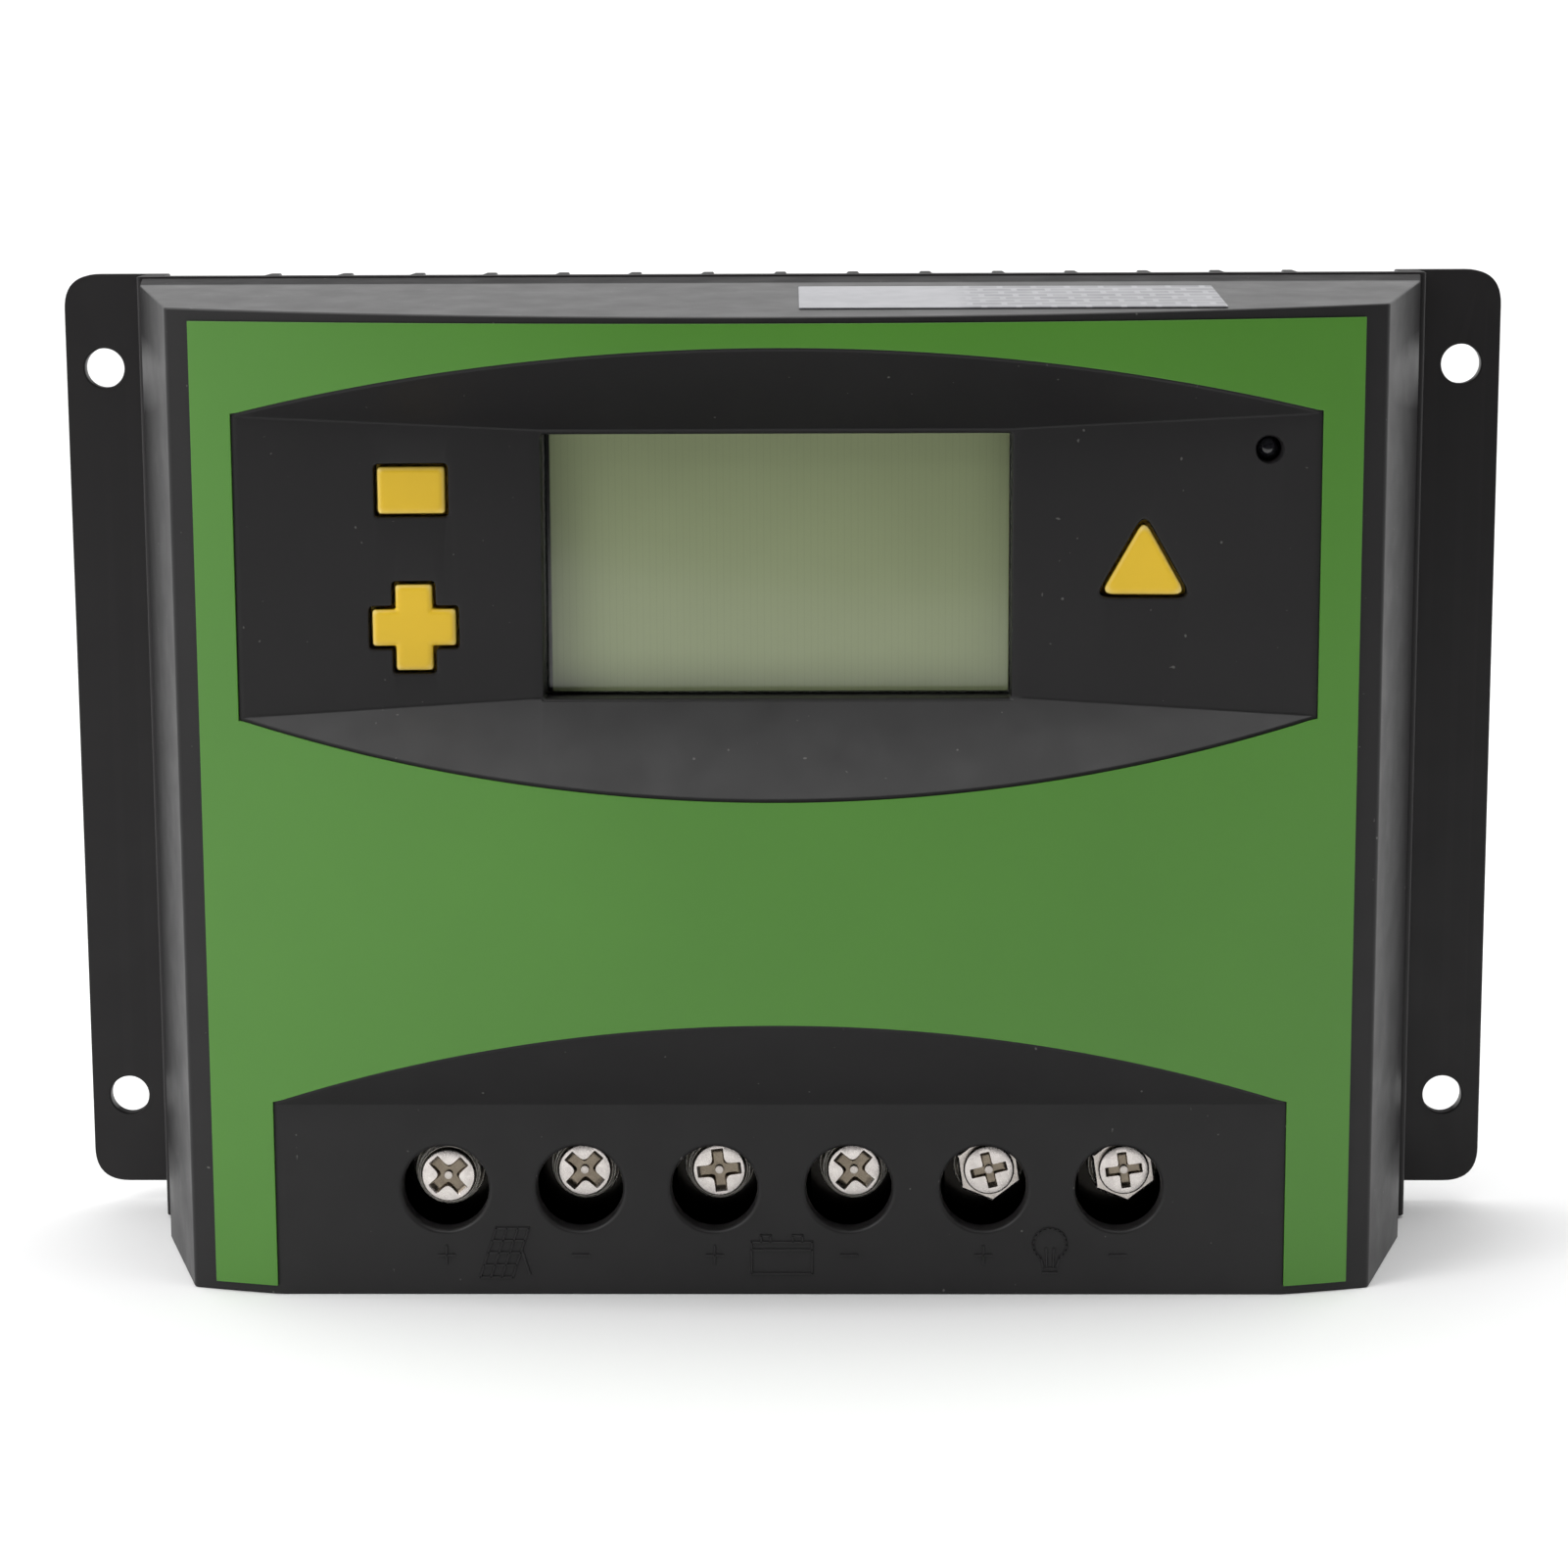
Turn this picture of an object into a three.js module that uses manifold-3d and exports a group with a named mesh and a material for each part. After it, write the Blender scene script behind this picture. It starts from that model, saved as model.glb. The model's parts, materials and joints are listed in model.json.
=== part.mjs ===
// Wall-mounted solar charge controller.
// Frame: X to the right, the front faces -Y, Z up. The wall is the plane Y = 0 and the origin is the
// centre of the four mounting holes. All sizes are in millimetres.
import * as THREE from "three";
import { mergeVertices } from "three/addons/utils/BufferGeometryUtils.js";
import Module from "manifold-3d";

const wasm = await Module();
wasm.setup();

// ---------------------------------------------------------------- driving dimensions
const GAP = 0.3; // clearance left between pieces that touch
const FAR = 90; // half length of a cutting tool that runs right through

// Mounting flanges and finned back plate, one aluminium extrusion.
const HOLE_SPAN_X = 178;
const HOLE_SPAN_Z = 98.5;
const HOLE_RADIUS = 2.6;
const FLANGE_HALF_WIDTH = 94;
const FLANGE_TOP = 61.5;
const FLANGE_BOTTOM = -61.3;
const FLANGE_THICKNESS = 2;
const FLANGE_CORNER = 5;
const FLANGE_ROOT = 82;
const SINK_TOP = 61.5;
const SINK_BOTTOM = -64.2;
const LEG_OUTER = 83.2;
const LEG_INNER = 80.2;
const WEB_FRONT = -9;
const WEB_BACK = -6;
const FIN_PITCH = 9.45;
const FIN_THICKNESS = 1.8;
const FIN_BACK = -0.6;
const FIN_COUNT_EACH_SIDE = 7;

// Front cover: a short straight rim, drafted walls and a face curved about a vertical axis.
const COVER_BACK = WEB_FRONT - GAP;
const RIM_FRONT = -18;
const BACK_HALF_WIDTH = 82.4;
const RIM_HALF_WIDTH = 81.1;
const FACE_HALF_WIDTH = 74.4;
const BACK_TOP = 61.3;
const RIM_TOP = 60.9;
const TOP_DRAFT = 0.076;
const COVER_BOTTOM = -64.6;
const DEPTH = 50;
const FACE_RADIUS = 270;
const FACE_STEPS = 20;
const WALL = 2.4;

// Display recess: two wings that lean in to the window, between two slopes.
const RECESS_HALF_WIDTH = 66;
const RECESS_TOP = 46.2;
const RECESS_BOTTOM = 9.1;
const RECESS_CREST_TOP = 54.5;
const RECESS_CREST_BOTTOM = 0.2;
const RECESS_FLOOR = -39.9;
const WINDOW_HALF_WIDTH = 28.8;
const WINDOW_TOP = 43.7;
const WINDOW_BOTTOM = 11.1;

// Terminal bay: a flat floor below one slope, open at the bottom.
const BAY_HALF_WIDTH = 63;
const BAY_FLOOR = -42.5;
const BAY_TOP = -39.9;
const BAY_CREST = -28.2;
const TERMINAL_COUNT = 6;
const WELL_PITCH = 16.9;
const WELL_CENTRE = 0.3;
const WELL_RADIUS = 5.1;
const WELL_BEVEL = 0.4;
const WELL_Z = -50.8;
const WIRE_ENTRY_WIDTH = 10;
const WIRE_ENTRY_FRONT = -39.4;
const WIRE_ENTRY_BACK = -30.6;
const RIB_THICKNESS = 1.5;
const RIB_BACK = -20;
const RIB_TOP = -42.5;

// Terminal hardware. The clamp screws sit slightly off their wells, and the first is unscrewed a
// few turns.
const SCREW_PITCH = 17.04;
const SCREW_CENTRE = 0.875;
const SCREW_Z = -49.5;
const UNSCREWED = [2.5, 0, 0, 0, 0, 0];
const BLOCK_FRONT = -34.2;
const BLOCK_BACK = -26.8;
const SCREW_RADIUS = 2;
const SCREW_TIP = -25;
const WASHER_RADIUS = 4.25;
const SPRING_WASHER_RADIUS = 3.6;
const WASHER_THICKNESS = 0.8;
const HEAD_RADIUS = 3.1;
const HEAD_HEIGHT = 2.1;
const HEX_ACROSS_FLATS = 7;
const HEX_HEIGHT = 1.2;

// Buttons and status lamp on the wings, given as the centre of each.
const MINUS = { x: -44.65, z: 37, width: 8.2, height: 5.7 };
const PLUS = { x: -44.6, z: 20.1, width: 10.2, height: 10.6, arm: 4.5 };
const MENU = { x: 44.9, z: 28.6, base: 10.4, height: 9.2, corner: 0.9 };
const BUTTON_PROUD = 0.2;
const BUTTON_CLEARANCE = 0.4;
const BUTTON_FLANGE = 1.1;
const BUTTON_STEM_RADIUS = 1.6;
const BUTTON_STEM_END = -36.1;
const LAMP = { x: 59.9, z: 41.8, hole: 1.6, radius: 1.5 };

// Boards.
const CONTROL_BOARD = { half: 64, bottom: 7.5, top: 47.5, front: -30.2, back: -28.6 };
const MAIN_BOARD = { half: 76, bottom: -60, top: 34, front: -14.6, back: -13 };
const CASE_POSTS = [-1, 1].flatMap((sx) => [-1, 1].map((sz) => ({ x: 70.9 * sx, z: 54 * sz })));
const MAIN_POSTS = [-1, 1].flatMap((sx) => [-36, 28].map((z) => ({ x: 69 * sx, z })));
const CONTROL_POSTS = [-1, 1].flatMap((sx) => [
  { x: 57 * sx, z: 13 },
  { x: 36.2 * sx, z: 42 },
]);

// Power stage on the back plate, above the main board.
const MOSFET_COUNT = 4;
const MOSFET_PITCH = 30;
const MOSFET_Z = 46;
const PAD_FRONT = WEB_FRONT - GAP - 0.3;
const BAR_FRONT = -17.6;
const CLAMP_SCREWS = [-1, 1].map((sx) => ({ x: MOSFET_PITCH * sx, z: MOSFET_Z }));

// ---------------------------------------------------------------- solids
function solid(geometry) {
  const bare = geometry.index ? geometry.toNonIndexed() : geometry.clone();
  bare.deleteAttribute("normal");
  bare.deleteAttribute("uv");
  const merged = mergeVertices(bare, 1e-4);
  const vertProperties = new Float32Array(merged.getAttribute("position").array);
  const triVerts = new Uint32Array(merged.index.array);
  return new wasm.Manifold(new wasm.Mesh({ numProp: 3, vertProperties, triVerts }));
}

function geometryOf(shape) {
  const mesh = shape.getMesh();
  const geometry = new THREE.BufferGeometry();
  geometry.setAttribute("position", new THREE.BufferAttribute(mesh.vertProperties, mesh.numProp));
  geometry.setIndex(new THREE.BufferAttribute(mesh.triVerts, 1));
  const flat = geometry.toNonIndexed();
  flat.computeVertexNormals();
  return flat;
}

const union = (shapes) => shapes.reduce((whole, shape) => whole.add(shape));
const cut = (whole, tools) => tools.reduce((left, tool) => left.subtract(tool), whole);

function box(x0, x1, y0, y1, z0, z1) {
  const geometry = new THREE.BoxGeometry(x1 - x0, y1 - y0, z1 - z0);
  return solid(geometry.translate((x0 + x1) / 2, (y0 + y1) / 2, (z0 + z1) / 2));
}

function extrude(outline, length) {
  const shape = new THREE.Shape(outline);
  return new THREE.ExtrudeGeometry(shape, { depth: length, bevelEnabled: false });
}

const vectors = (points) => points.map(([u, v]) => new THREE.Vector2(u, v));

// A prism along Z from an outline of [x, y] points, counter-clockwise seen from +Z.
function prismZ(points, z0, z1) {
  return solid(extrude(vectors(points), z1 - z0).translate(0, 0, z0));
}

// A prism along X from an outline of [y, z] points.
function prismX(points, x0, x1) {
  const turn = new THREE.Matrix4().makeBasis(
    new THREE.Vector3(0, 1, 0),
    new THREE.Vector3(0, 0, 1),
    new THREE.Vector3(1, 0, 0),
  );
  return solid(extrude(vectors(points), x1 - x0).applyMatrix4(turn).translate(x0, 0, 0));
}

// A prism along Y from an outline of [x, z] points.
function prismY(points, y0, y1) {
  const turn = new THREE.Matrix4().makeBasis(
    new THREE.Vector3(1, 0, 0),
    new THREE.Vector3(0, 0, 1),
    new THREE.Vector3(0, -1, 0),
  );
  return solid(extrude(vectors(points), y1 - y0).applyMatrix4(turn).translate(0, y1, 0));
}

// A round rod along Y.
function rod(x, z, y0, y1, radius, sides = 16) {
  const geometry = new THREE.CylinderGeometry(radius, radius, y1 - y0, sides);
  return solid(geometry.translate(x, (y0 + y1) / 2, z));
}

// A turned piece about the line along Y through x, z, from [radius, y] points with y rising.
function turned(points, x, z, sides = 20) {
  return solid(new THREE.LatheGeometry(vectors(points), sides).translate(x, 0, z));
}

// The outline of a rectangle with round corners, as [u, v] points.
function roundedRectangle(u0, u1, v0, v1, radius, steps = 4) {
  const corners = [
    [u1 - radius, v1 - radius, 0],
    [u0 + radius, v1 - radius, 90],
    [u0 + radius, v0 + radius, 180],
    [u1 - radius, v0 + radius, 270],
  ];
  return corners.flatMap(([u, v, start]) =>
    Array.from({ length: steps + 1 }, (_, i) => {
      const angle = THREE.MathUtils.degToRad(start + (90 * i) / steps);
      return [u + radius * Math.cos(angle), v + radius * Math.sin(angle)];
    }),
  );
}

// ---------------------------------------------------------------- the scene graph
const controller = new THREE.Group();

function part(name, shape, color, roughness, metalness = 0) {
  const material = new THREE.MeshStandardMaterial({ color, roughness, metalness });
  const mesh = new THREE.Mesh(geometryOf(shape), material);
  mesh.name = name;
  controller.add(mesh);
}

// ---------------------------------------------------------------- cover surfaces
// Y of the curved face, or of a surface the given distance inside it.
function faceY(x, inside = 0) {
  const radius = FACE_RADIUS - inside;
  return FACE_RADIUS - DEPTH - Math.sqrt(radius * radius - x * x);
}

// Z of the top wall over the drafted part.
const topZ = (y) => RIM_TOP + TOP_DRAFT * (y - RIM_FRONT);

// Y of a wing of the display recess.
function wingY(x) {
  const slope = (faceY(RECESS_HALF_WIDTH) - RECESS_FLOOR) / (RECESS_HALF_WIDTH - WINDOW_HALF_WIDTH);
  return RECESS_FLOOR + slope * (Math.abs(x) - WINDOW_HALF_WIDTH);
}

// The cover's outer form, or the same form the given distance further in, from the given back plane.
function coverForm(inside, back) {
  const faceHalf = FACE_HALF_WIDTH - inside;
  const plan = [
    [BACK_HALF_WIDTH - inside, back],
    [-(BACK_HALF_WIDTH - inside), back],
    [-(RIM_HALF_WIDTH - inside), RIM_FRONT],
  ];
  for (let i = 0; i <= FACE_STEPS; i++) {
    const x = -faceHalf + (2 * faceHalf * i) / FACE_STEPS;
    plan.push([x, faceY(x, inside)]);
  }
  plan.push([RIM_HALF_WIDTH - inside, RIM_FRONT]);
  const front = -DEPTH - 1;
  const side = [
    [back, COVER_BOTTOM + inside],
    [back, BACK_TOP - inside],
    [RIM_FRONT, RIM_TOP - inside],
    [front, topZ(front) - inside],
    [front, COVER_BOTTOM + inside],
  ];
  return prismZ(plan, -FAR, FAR).intersect(prismX(side, -FAR, FAR));
}

// The space in front of the display recess, or the same space grown by a wall thickness.
function recessTool(grow) {
  const front = -DEPTH - 10;
  const plan = [
    [-FAR, wingY(FAR) + grow],
    [-FAR, front],
    [FAR, front],
    [FAR, wingY(FAR) + grow],
    [WINDOW_HALF_WIDTH, RECESS_FLOOR + grow],
    [-WINDOW_HALF_WIDTH, RECESS_FLOOR + grow],
  ];
  const edge = faceY(RECESS_HALF_WIDTH);
  const upper = (RECESS_CREST_TOP - RECESS_TOP) / (DEPTH + edge);
  const lower = (RECESS_BOTTOM - RECESS_CREST_BOTTOM) / (DEPTH + edge);
  const topAt = (y) => RECESS_TOP + upper * (edge - y) + grow * Math.hypot(1, upper);
  const bottomAt = (y) => RECESS_BOTTOM - lower * (edge - y) - grow * Math.hypot(1, lower);
  const back = RECESS_FLOOR + 3;
  const side = [
    [back, bottomAt(back)],
    [back, topAt(back)],
    [front, topAt(front)],
    [front, bottomAt(front)],
  ];
  return prismZ(plan, -FAR, FAR).intersect(prismX(side, -FAR, FAR));
}

// The space in front of the terminal bay, or the same space grown by a wall thickness.
function bayTool(grow) {
  const front = -DEPTH - 10;
  const slope = (BAY_CREST - BAY_TOP) / (DEPTH + BAY_FLOOR);
  const topAt = (y) => BAY_TOP + slope * (BAY_FLOOR - y) + grow * Math.hypot(1, slope);
  const back = BAY_FLOOR + grow;
  const side = [
    [back, -FAR],
    [back, topAt(back)],
    [front, topAt(front)],
    [front, -FAR],
  ];
  return prismX(side, -(BAY_HALF_WIDTH + grow), BAY_HALF_WIDTH + grow);
}

// The X of each place in a row of terminals.
const row = (centre, pitch) =>
  Array.from({ length: TERMINAL_COUNT }, (_, i) => centre + (i - (TERMINAL_COUNT - 1) / 2) * pitch);
const wellXs = row(WELL_CENTRE, WELL_PITCH);
const screwXs = row(SCREW_CENTRE, SCREW_PITCH);

// ---------------------------------------------------------------- button outlines, [x, z] points
function rectangleOutline({ x, z, width, height }, grow) {
  const u = width / 2 + grow;
  const v = height / 2 + grow;
  return roundedRectangle(x - u, x + u, z - v, z + v, 0.6, 2);
}

function plusOutline({ x, z, width, height, arm }, grow) {
  const u = width / 2 + grow;
  const v = height / 2 + grow;
  const a = arm / 2 + grow;
  const quarter = [
    [u, a],
    [a, a],
    [a, v],
  ];
  const turns = [
    ([p, q]) => [p, q],
    ([p, q]) => [-p, q],
    ([p, q]) => [-p, -q],
    ([p, q]) => [p, -q],
  ];
  return turns.flatMap((turn, i) => {
    const points = quarter.map(turn);
    return (i % 2 ? points.reverse() : points).map(([p, q]) => [x + p, z + q]);
  });
}

// An isosceles triangle, point up, with round corners.
function triangleOutline({ x, z, base, height, corner }, grow) {
  const half = Math.atan2(base / 2, height);
  const low = z - height / 2 + corner;
  const reach = base / 2 - corner / Math.tan(Math.PI / 4 - half / 2);
  const arcs = [
    { cx: x + reach, cz: low, from: -Math.PI / 2, to: half },
    { cx: x, cz: z + height / 2 - corner / Math.sin(half), from: half, to: Math.PI - half },
    { cx: x - reach, cz: low, from: Math.PI - half, to: 1.5 * Math.PI },
  ];
  const steps = 4;
  return arcs.flatMap(({ cx, cz, from, to }) =>
    Array.from({ length: steps + 1 }, (_, i) => {
      const angle = from + ((to - from) * i) / steps;
      return [cx + (corner + grow) * Math.cos(angle), cz + (corner + grow) * Math.sin(angle)];
    }),
  );
}

const buttons = [
  { name: "minus", outline: rectangleOutline, ...MINUS },
  { name: "plus", outline: plusOutline, ...PLUS },
  { name: "menu", outline: triangleOutline, ...MENU },
];

// ---------------------------------------------------------------- front cover
function frontCover() {
  const recess = recessTool(0);
  const bay = bayTool(0);
  const skin = cut(coverForm(0, COVER_BACK), [recess, bay]);
  const hollow = cut(coverForm(WALL, COVER_BACK + 1), [recessTool(WALL), bayTool(WALL)]);
  const shell = skin.subtract(hollow);

  const post = ({ x, z }, back, radius) => rod(x, z, -DEPTH, back, radius);
  const posts = [
    ...CASE_POSTS.map((p) => post(p, COVER_BACK, 3.6)),
    ...MAIN_POSTS.map((p) => post(p, MAIN_BOARD.front - GAP, 3.2)),
    ...CONTROL_POSTS.map((p) => post(p, CONTROL_BOARD.front - GAP, 2.8)),
  ];
  const ribs = Array.from({ length: TERMINAL_COUNT + 1 }, (_, i) => {
    const x = WELL_CENTRE + (i - TERMINAL_COUNT / 2) * WELL_PITCH;
    const half = RIB_THICKNESS / 2;
    return box(x - half, x + half, BAY_FLOOR + 1, RIB_BACK, COVER_BOTTOM + 1, RIB_TOP);
  });
  const inside = union([...posts, ...ribs]).intersect(skin);

  const pilots = [
    ...CASE_POSTS.map(({ x, z }) => rod(x, z, -24, 1, 1.65, 12)),
    ...MAIN_POSTS.map(({ x, z }) => rod(x, z, -25, 1, 1.5, 12)),
    ...CONTROL_POSTS.map(({ x, z }) => rod(x, z, -37.6, 1, 1.15, 12)),
  ];
  const wells = wellXs.map((x) => {
    const mouth = BAY_FLOOR + WELL_BEVEL;
    const flare = WELL_RADIUS + 2 * WELL_BEVEL;
    const profile = [
      [0, BAY_FLOOR - WELL_BEVEL],
      [flare, BAY_FLOOR - WELL_BEVEL],
      [WELL_RADIUS, mouth],
      [WELL_RADIUS, BAY_FLOOR + WALL + 0.5],
      [0, BAY_FLOOR + WALL + 0.5],
    ];
    return turned(profile, x, WELL_Z);
  });
  const half = WIRE_ENTRY_WIDTH / 2;
  const entries = wellXs.map((x) =>
    box(x - half, x + half, WIRE_ENTRY_FRONT, WIRE_ENTRY_BACK, -FAR, COVER_BOTTOM + WALL + 0.1),
  );
  const buttonHoles = buttons.map((b) => prismY(b.outline(b, BUTTON_CLEARANCE), -FAR, -37));
  const display = box(
    -WINDOW_HALF_WIDTH, WINDOW_HALF_WIDTH, -FAR, -36, WINDOW_BOTTOM, WINDOW_TOP,
  );
  const lampHole = rod(LAMP.x, LAMP.z, -FAR, -36, LAMP.hole);
  const holes = [...pilots, ...wells, ...entries, ...buttonHoles, display, lampHole];
  part("front_cover", cut(shell.add(inside), holes), 0x3c3b3d, 0.55);
}

// ---------------------------------------------------------------- labels
function labels() {
  const [inner, outer] = [0.1, 0.4];
  const half = 71.4;
  const arc = (lift) =>
    Array.from({ length: FACE_STEPS + 1 }, (_, i) => {
      const x = -half + (2 * half * i) / FACE_STEPS;
      return [x, faceY(x) - lift];
    });
  const sheet = prismZ([...arc(outer), ...arc(inner).reverse()], -63.4, 57.7);
  part("front_label", cut(sheet, [recessTool(0.05), bayTool(0.05)]), 0x55823f, 0.45);

  const [back, front] = [-23.3, -43.3];
  const band = [
    [back, topZ(back) + inner],
    [front, topZ(front) + inner],
    [front, topZ(front) + outer],
    [back, topZ(back) + outer],
  ];
  part("rating_label", prismX(band, 2.6, 54.5), 0xb9bac0, 0.5);
}

// ---------------------------------------------------------------- heat sink
function heatSink() {
  const profile = [
    [LEG_OUTER, 0],
    [LEG_OUTER, WEB_FRONT],
    [-LEG_OUTER, WEB_FRONT],
    [-LEG_OUTER, 0],
    [-LEG_INNER, 0],
    [-LEG_INNER, WEB_BACK],
  ];
  for (let i = -FIN_COUNT_EACH_SIDE; i <= FIN_COUNT_EACH_SIDE; i++) {
    const x = i * FIN_PITCH;
    profile.push([x - FIN_THICKNESS / 2, WEB_BACK]);
    profile.push([x - FIN_THICKNESS / 2, FIN_BACK]);
    profile.push([x + FIN_THICKNESS / 2, FIN_BACK]);
    profile.push([x + FIN_THICKNESS / 2, WEB_BACK]);
  }
  profile.push([LEG_INNER, WEB_BACK], [LEG_INNER, 0]);
  const body = prismZ(profile, SINK_BOTTOM, SINK_TOP);
  const flanges = [-1, 1].map((side) => {
    const plate = roundedRectangle(
      LEG_INNER - 10, FLANGE_HALF_WIDTH, FLANGE_BOTTOM, FLANGE_TOP, FLANGE_CORNER,
    );
    const shape = prismY(plate.map(([x, z]) => [side * x, z]), -FLANGE_THICKNESS, 0);
    const [left, right] = side > 0 ? [FLANGE_ROOT, FAR + 10] : [-FAR - 10, -FLANGE_ROOT];
    return shape.intersect(box(left, right, -5, 5, -FAR, FAR));
  });
  const mounting = [-1, 1].flatMap((sx) =>
    [-1, 1].map((sz) => rod((sx * HOLE_SPAN_X) / 2, (sz * HOLE_SPAN_Z) / 2, -5, 5, HOLE_RADIUS, 20)),
  );
  const screwHoles = [
    ...CASE_POSTS.map(({ x, z }) => rod(x, z, -20, 1, 1.9, 12)),
    ...CLAMP_SCREWS.map(({ x, z }) => rod(x, z, -20, 1, 1.7, 12)),
  ];
  const plate = cut(union([body, ...flanges]), [...mounting, ...screwHoles]);
  part("heat_sink", plate, 0x2f2c2e, 0.45, 0.4);
}

// ---------------------------------------------------------------- fasteners
// A pan head screw along Y whose head faces the wall, with a cross recess.
function boardScrew(name, { x, z }, seat, length, head, shank) {
  const height = head * 0.7;
  const profile = [
    [0, seat - length],
    [shank, seat - length + shank / 2],
    [shank, seat],
    [head, seat],
    [head, seat + height * 0.6],
    [head * 0.6, seat + height],
    [0, seat + height],
  ];
  const arm = head * 0.6;
  const slot = head * 0.16;
  const cross = [
    box(x - arm, x + arm, seat + height * 0.4, seat + height + 1, z - slot, z + slot),
    box(x - slot, x + slot, seat + height * 0.4, seat + height + 1, z - arm, z + arm),
  ];
  part(name, cut(turned(profile, x, z, 12), cross), 0xa8a6a2, 0.35, 0.9);
}

function fasteners() {
  CASE_POSTS.forEach((p, i) => boardScrew(`case_screw_${i + 1}`, p, WEB_BACK + GAP, 16, 2.8, 1.4));
  MAIN_POSTS.forEach((p, i) => {
    boardScrew(`main_board_screw_${i + 1}`, p, MAIN_BOARD.back + GAP, 10, 2.5, 1.25);
  });
  CONTROL_POSTS.forEach((p, i) => {
    boardScrew(`control_board_screw_${i + 1}`, p, CONTROL_BOARD.back + GAP, 7, 2.1, 0.95);
  });
}

// ---------------------------------------------------------------- boards and what they carry
function boards() {
  const main = MAIN_BOARD;
  const cornerCut = 5;
  const mainCuts = [
    ...MAIN_POSTS.map(({ x, z }) => rod(x, z, -20, -5, 1.6, 12)),
    ...CASE_POSTS.filter(({ z }) => z < 0).map(({ x, z }) => {
      const reach = FAR - Math.abs(x);
      const centre = x + (Math.sign(x) * (reach - cornerCut)) / 2;
      const half = (reach + cornerCut) / 2;
      return box(centre - half, centre + half, -20, -5, -FAR, z + cornerCut);
    }),
  ];
  const mainBlank = box(-main.half, main.half, main.front, main.back, main.bottom, main.top);
  part("main_board", cut(mainBlank, mainCuts), 0x1f5a35, 0.5);

  const control = CONTROL_BOARD;
  const controlBlank = box(
    -control.half, control.half, control.front, control.back, control.bottom, control.top,
  );
  const controlCuts = CONTROL_POSTS.map(({ x, z }) => rod(x, z, -35, -25, 1.3, 12));
  part("control_board", cut(controlBlank, controlCuts), 0x1f5a35, 0.5);

  const [rear, front] = [control.back + GAP, main.front - GAP];
  part("board_header", box(-12.7, 12.7, rear, front, 10.5, 13), 0x1c1c1e, 0.5);

  part("microcontroller", box(26, 36, front - 1.6, front, -9, 1), 0x17171a, 0.5);

  [-1, 1].forEach((side, i) => {
    const can = [
      [0, front - 20],
      [5.8, front - 20],
      [6.25, front - 19.5],
      [6.25, front - 3.4],
      [5.8, front - 2.8],
      [6.25, front - 2.2],
      [6.25, front],
      [0, front],
    ];
    part(`capacitor_${i + 1}`, turned(can, 15 * side, -16), 0x22324a, 0.4);
  });

  const strap = [
    [-44, front],
    [-44, front - 7],
    [-28, front - 7],
    [-28, front],
    [-29.5, front],
    [-29.5, front - 5.5],
    [-42.5, front - 5.5],
    [-42.5, front],
  ];
  part("current_shunt", prismZ(strap, -12, -6), 0xb6855a, 0.35, 0.9);
}

// ---------------------------------------------------------------- display
function display() {
  const lip = 3;
  const rear = CONTROL_BOARD.front - GAP;
  const [glassFront, glassBack] = [-34.9, -33.3];
  const u = WINDOW_HALF_WIDTH;
  const frame = box(-u - lip, u + lip, -37.2, glassBack, WINDOW_BOTTOM - lip, WINDOW_TOP + lip);
  const opening = box(-u - GAP, u + GAP, -FAR, 0, WINDOW_BOTTOM - GAP, WINDOW_TOP + GAP);
  part("lcd_frame", frame.subtract(opening), 0x141414, 0.5);
  part("lcd_glass", box(-u, u, glassFront, glassBack, WINDOW_BOTTOM, WINDOW_TOP), 0x858d72, 0.15);
  part(
    "lcd_backlight",
    box(-u - lip, u + lip, glassBack + GAP, rear, WINDOW_BOTTOM - lip, WINDOW_TOP + lip),
    0xd9dcd2,
    0.6,
  );
}

// ---------------------------------------------------------------- buttons, switches and lamp
function controls() {
  const rear = CONTROL_BOARD.front - GAP;
  for (const button of buttons) {
    const { name, x, z } = button;
    const skinBack = wingY(x) + WALL + 2.5 * GAP;
    const front = wingY(x) - BUTTON_PROUD;
    const cap = prismY(button.outline(button, 0), front, skinBack + 0.6);
    const flange = prismY(button.outline(button, BUTTON_FLANGE), skinBack, skinBack + 1);
    const stem = rod(x, z, skinBack, BUTTON_STEM_END, BUTTON_STEM_RADIUS, 16);
    part(`button_${name}`, union([cap, flange, stem]), 0xd9b13a, 0.5);

    const body = box(x - 3, x + 3, rear - 3.4, rear, z - 3, z + 3);
    const plunger = rod(x, z, rear - 4.9, rear, 1.75, 16);
    part(`tact_switch_${name}`, body.add(plunger), 0x1d1d1f, 0.5);
  }
  const lamp = [
    [0, -39.9],
    [0.8, -39.7],
    [1.3, -39.2],
    [LAMP.radius, -38.4],
    [LAMP.radius, -34.6],
    [1.9, -34.6],
    [1.9, -33.6],
    [1.5, -33.6],
    [1.5, rear],
    [0, rear],
  ];
  part("status_lamp", turned(lamp, LAMP.x, LAMP.z), 0x24262a, 0.2);
}

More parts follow.
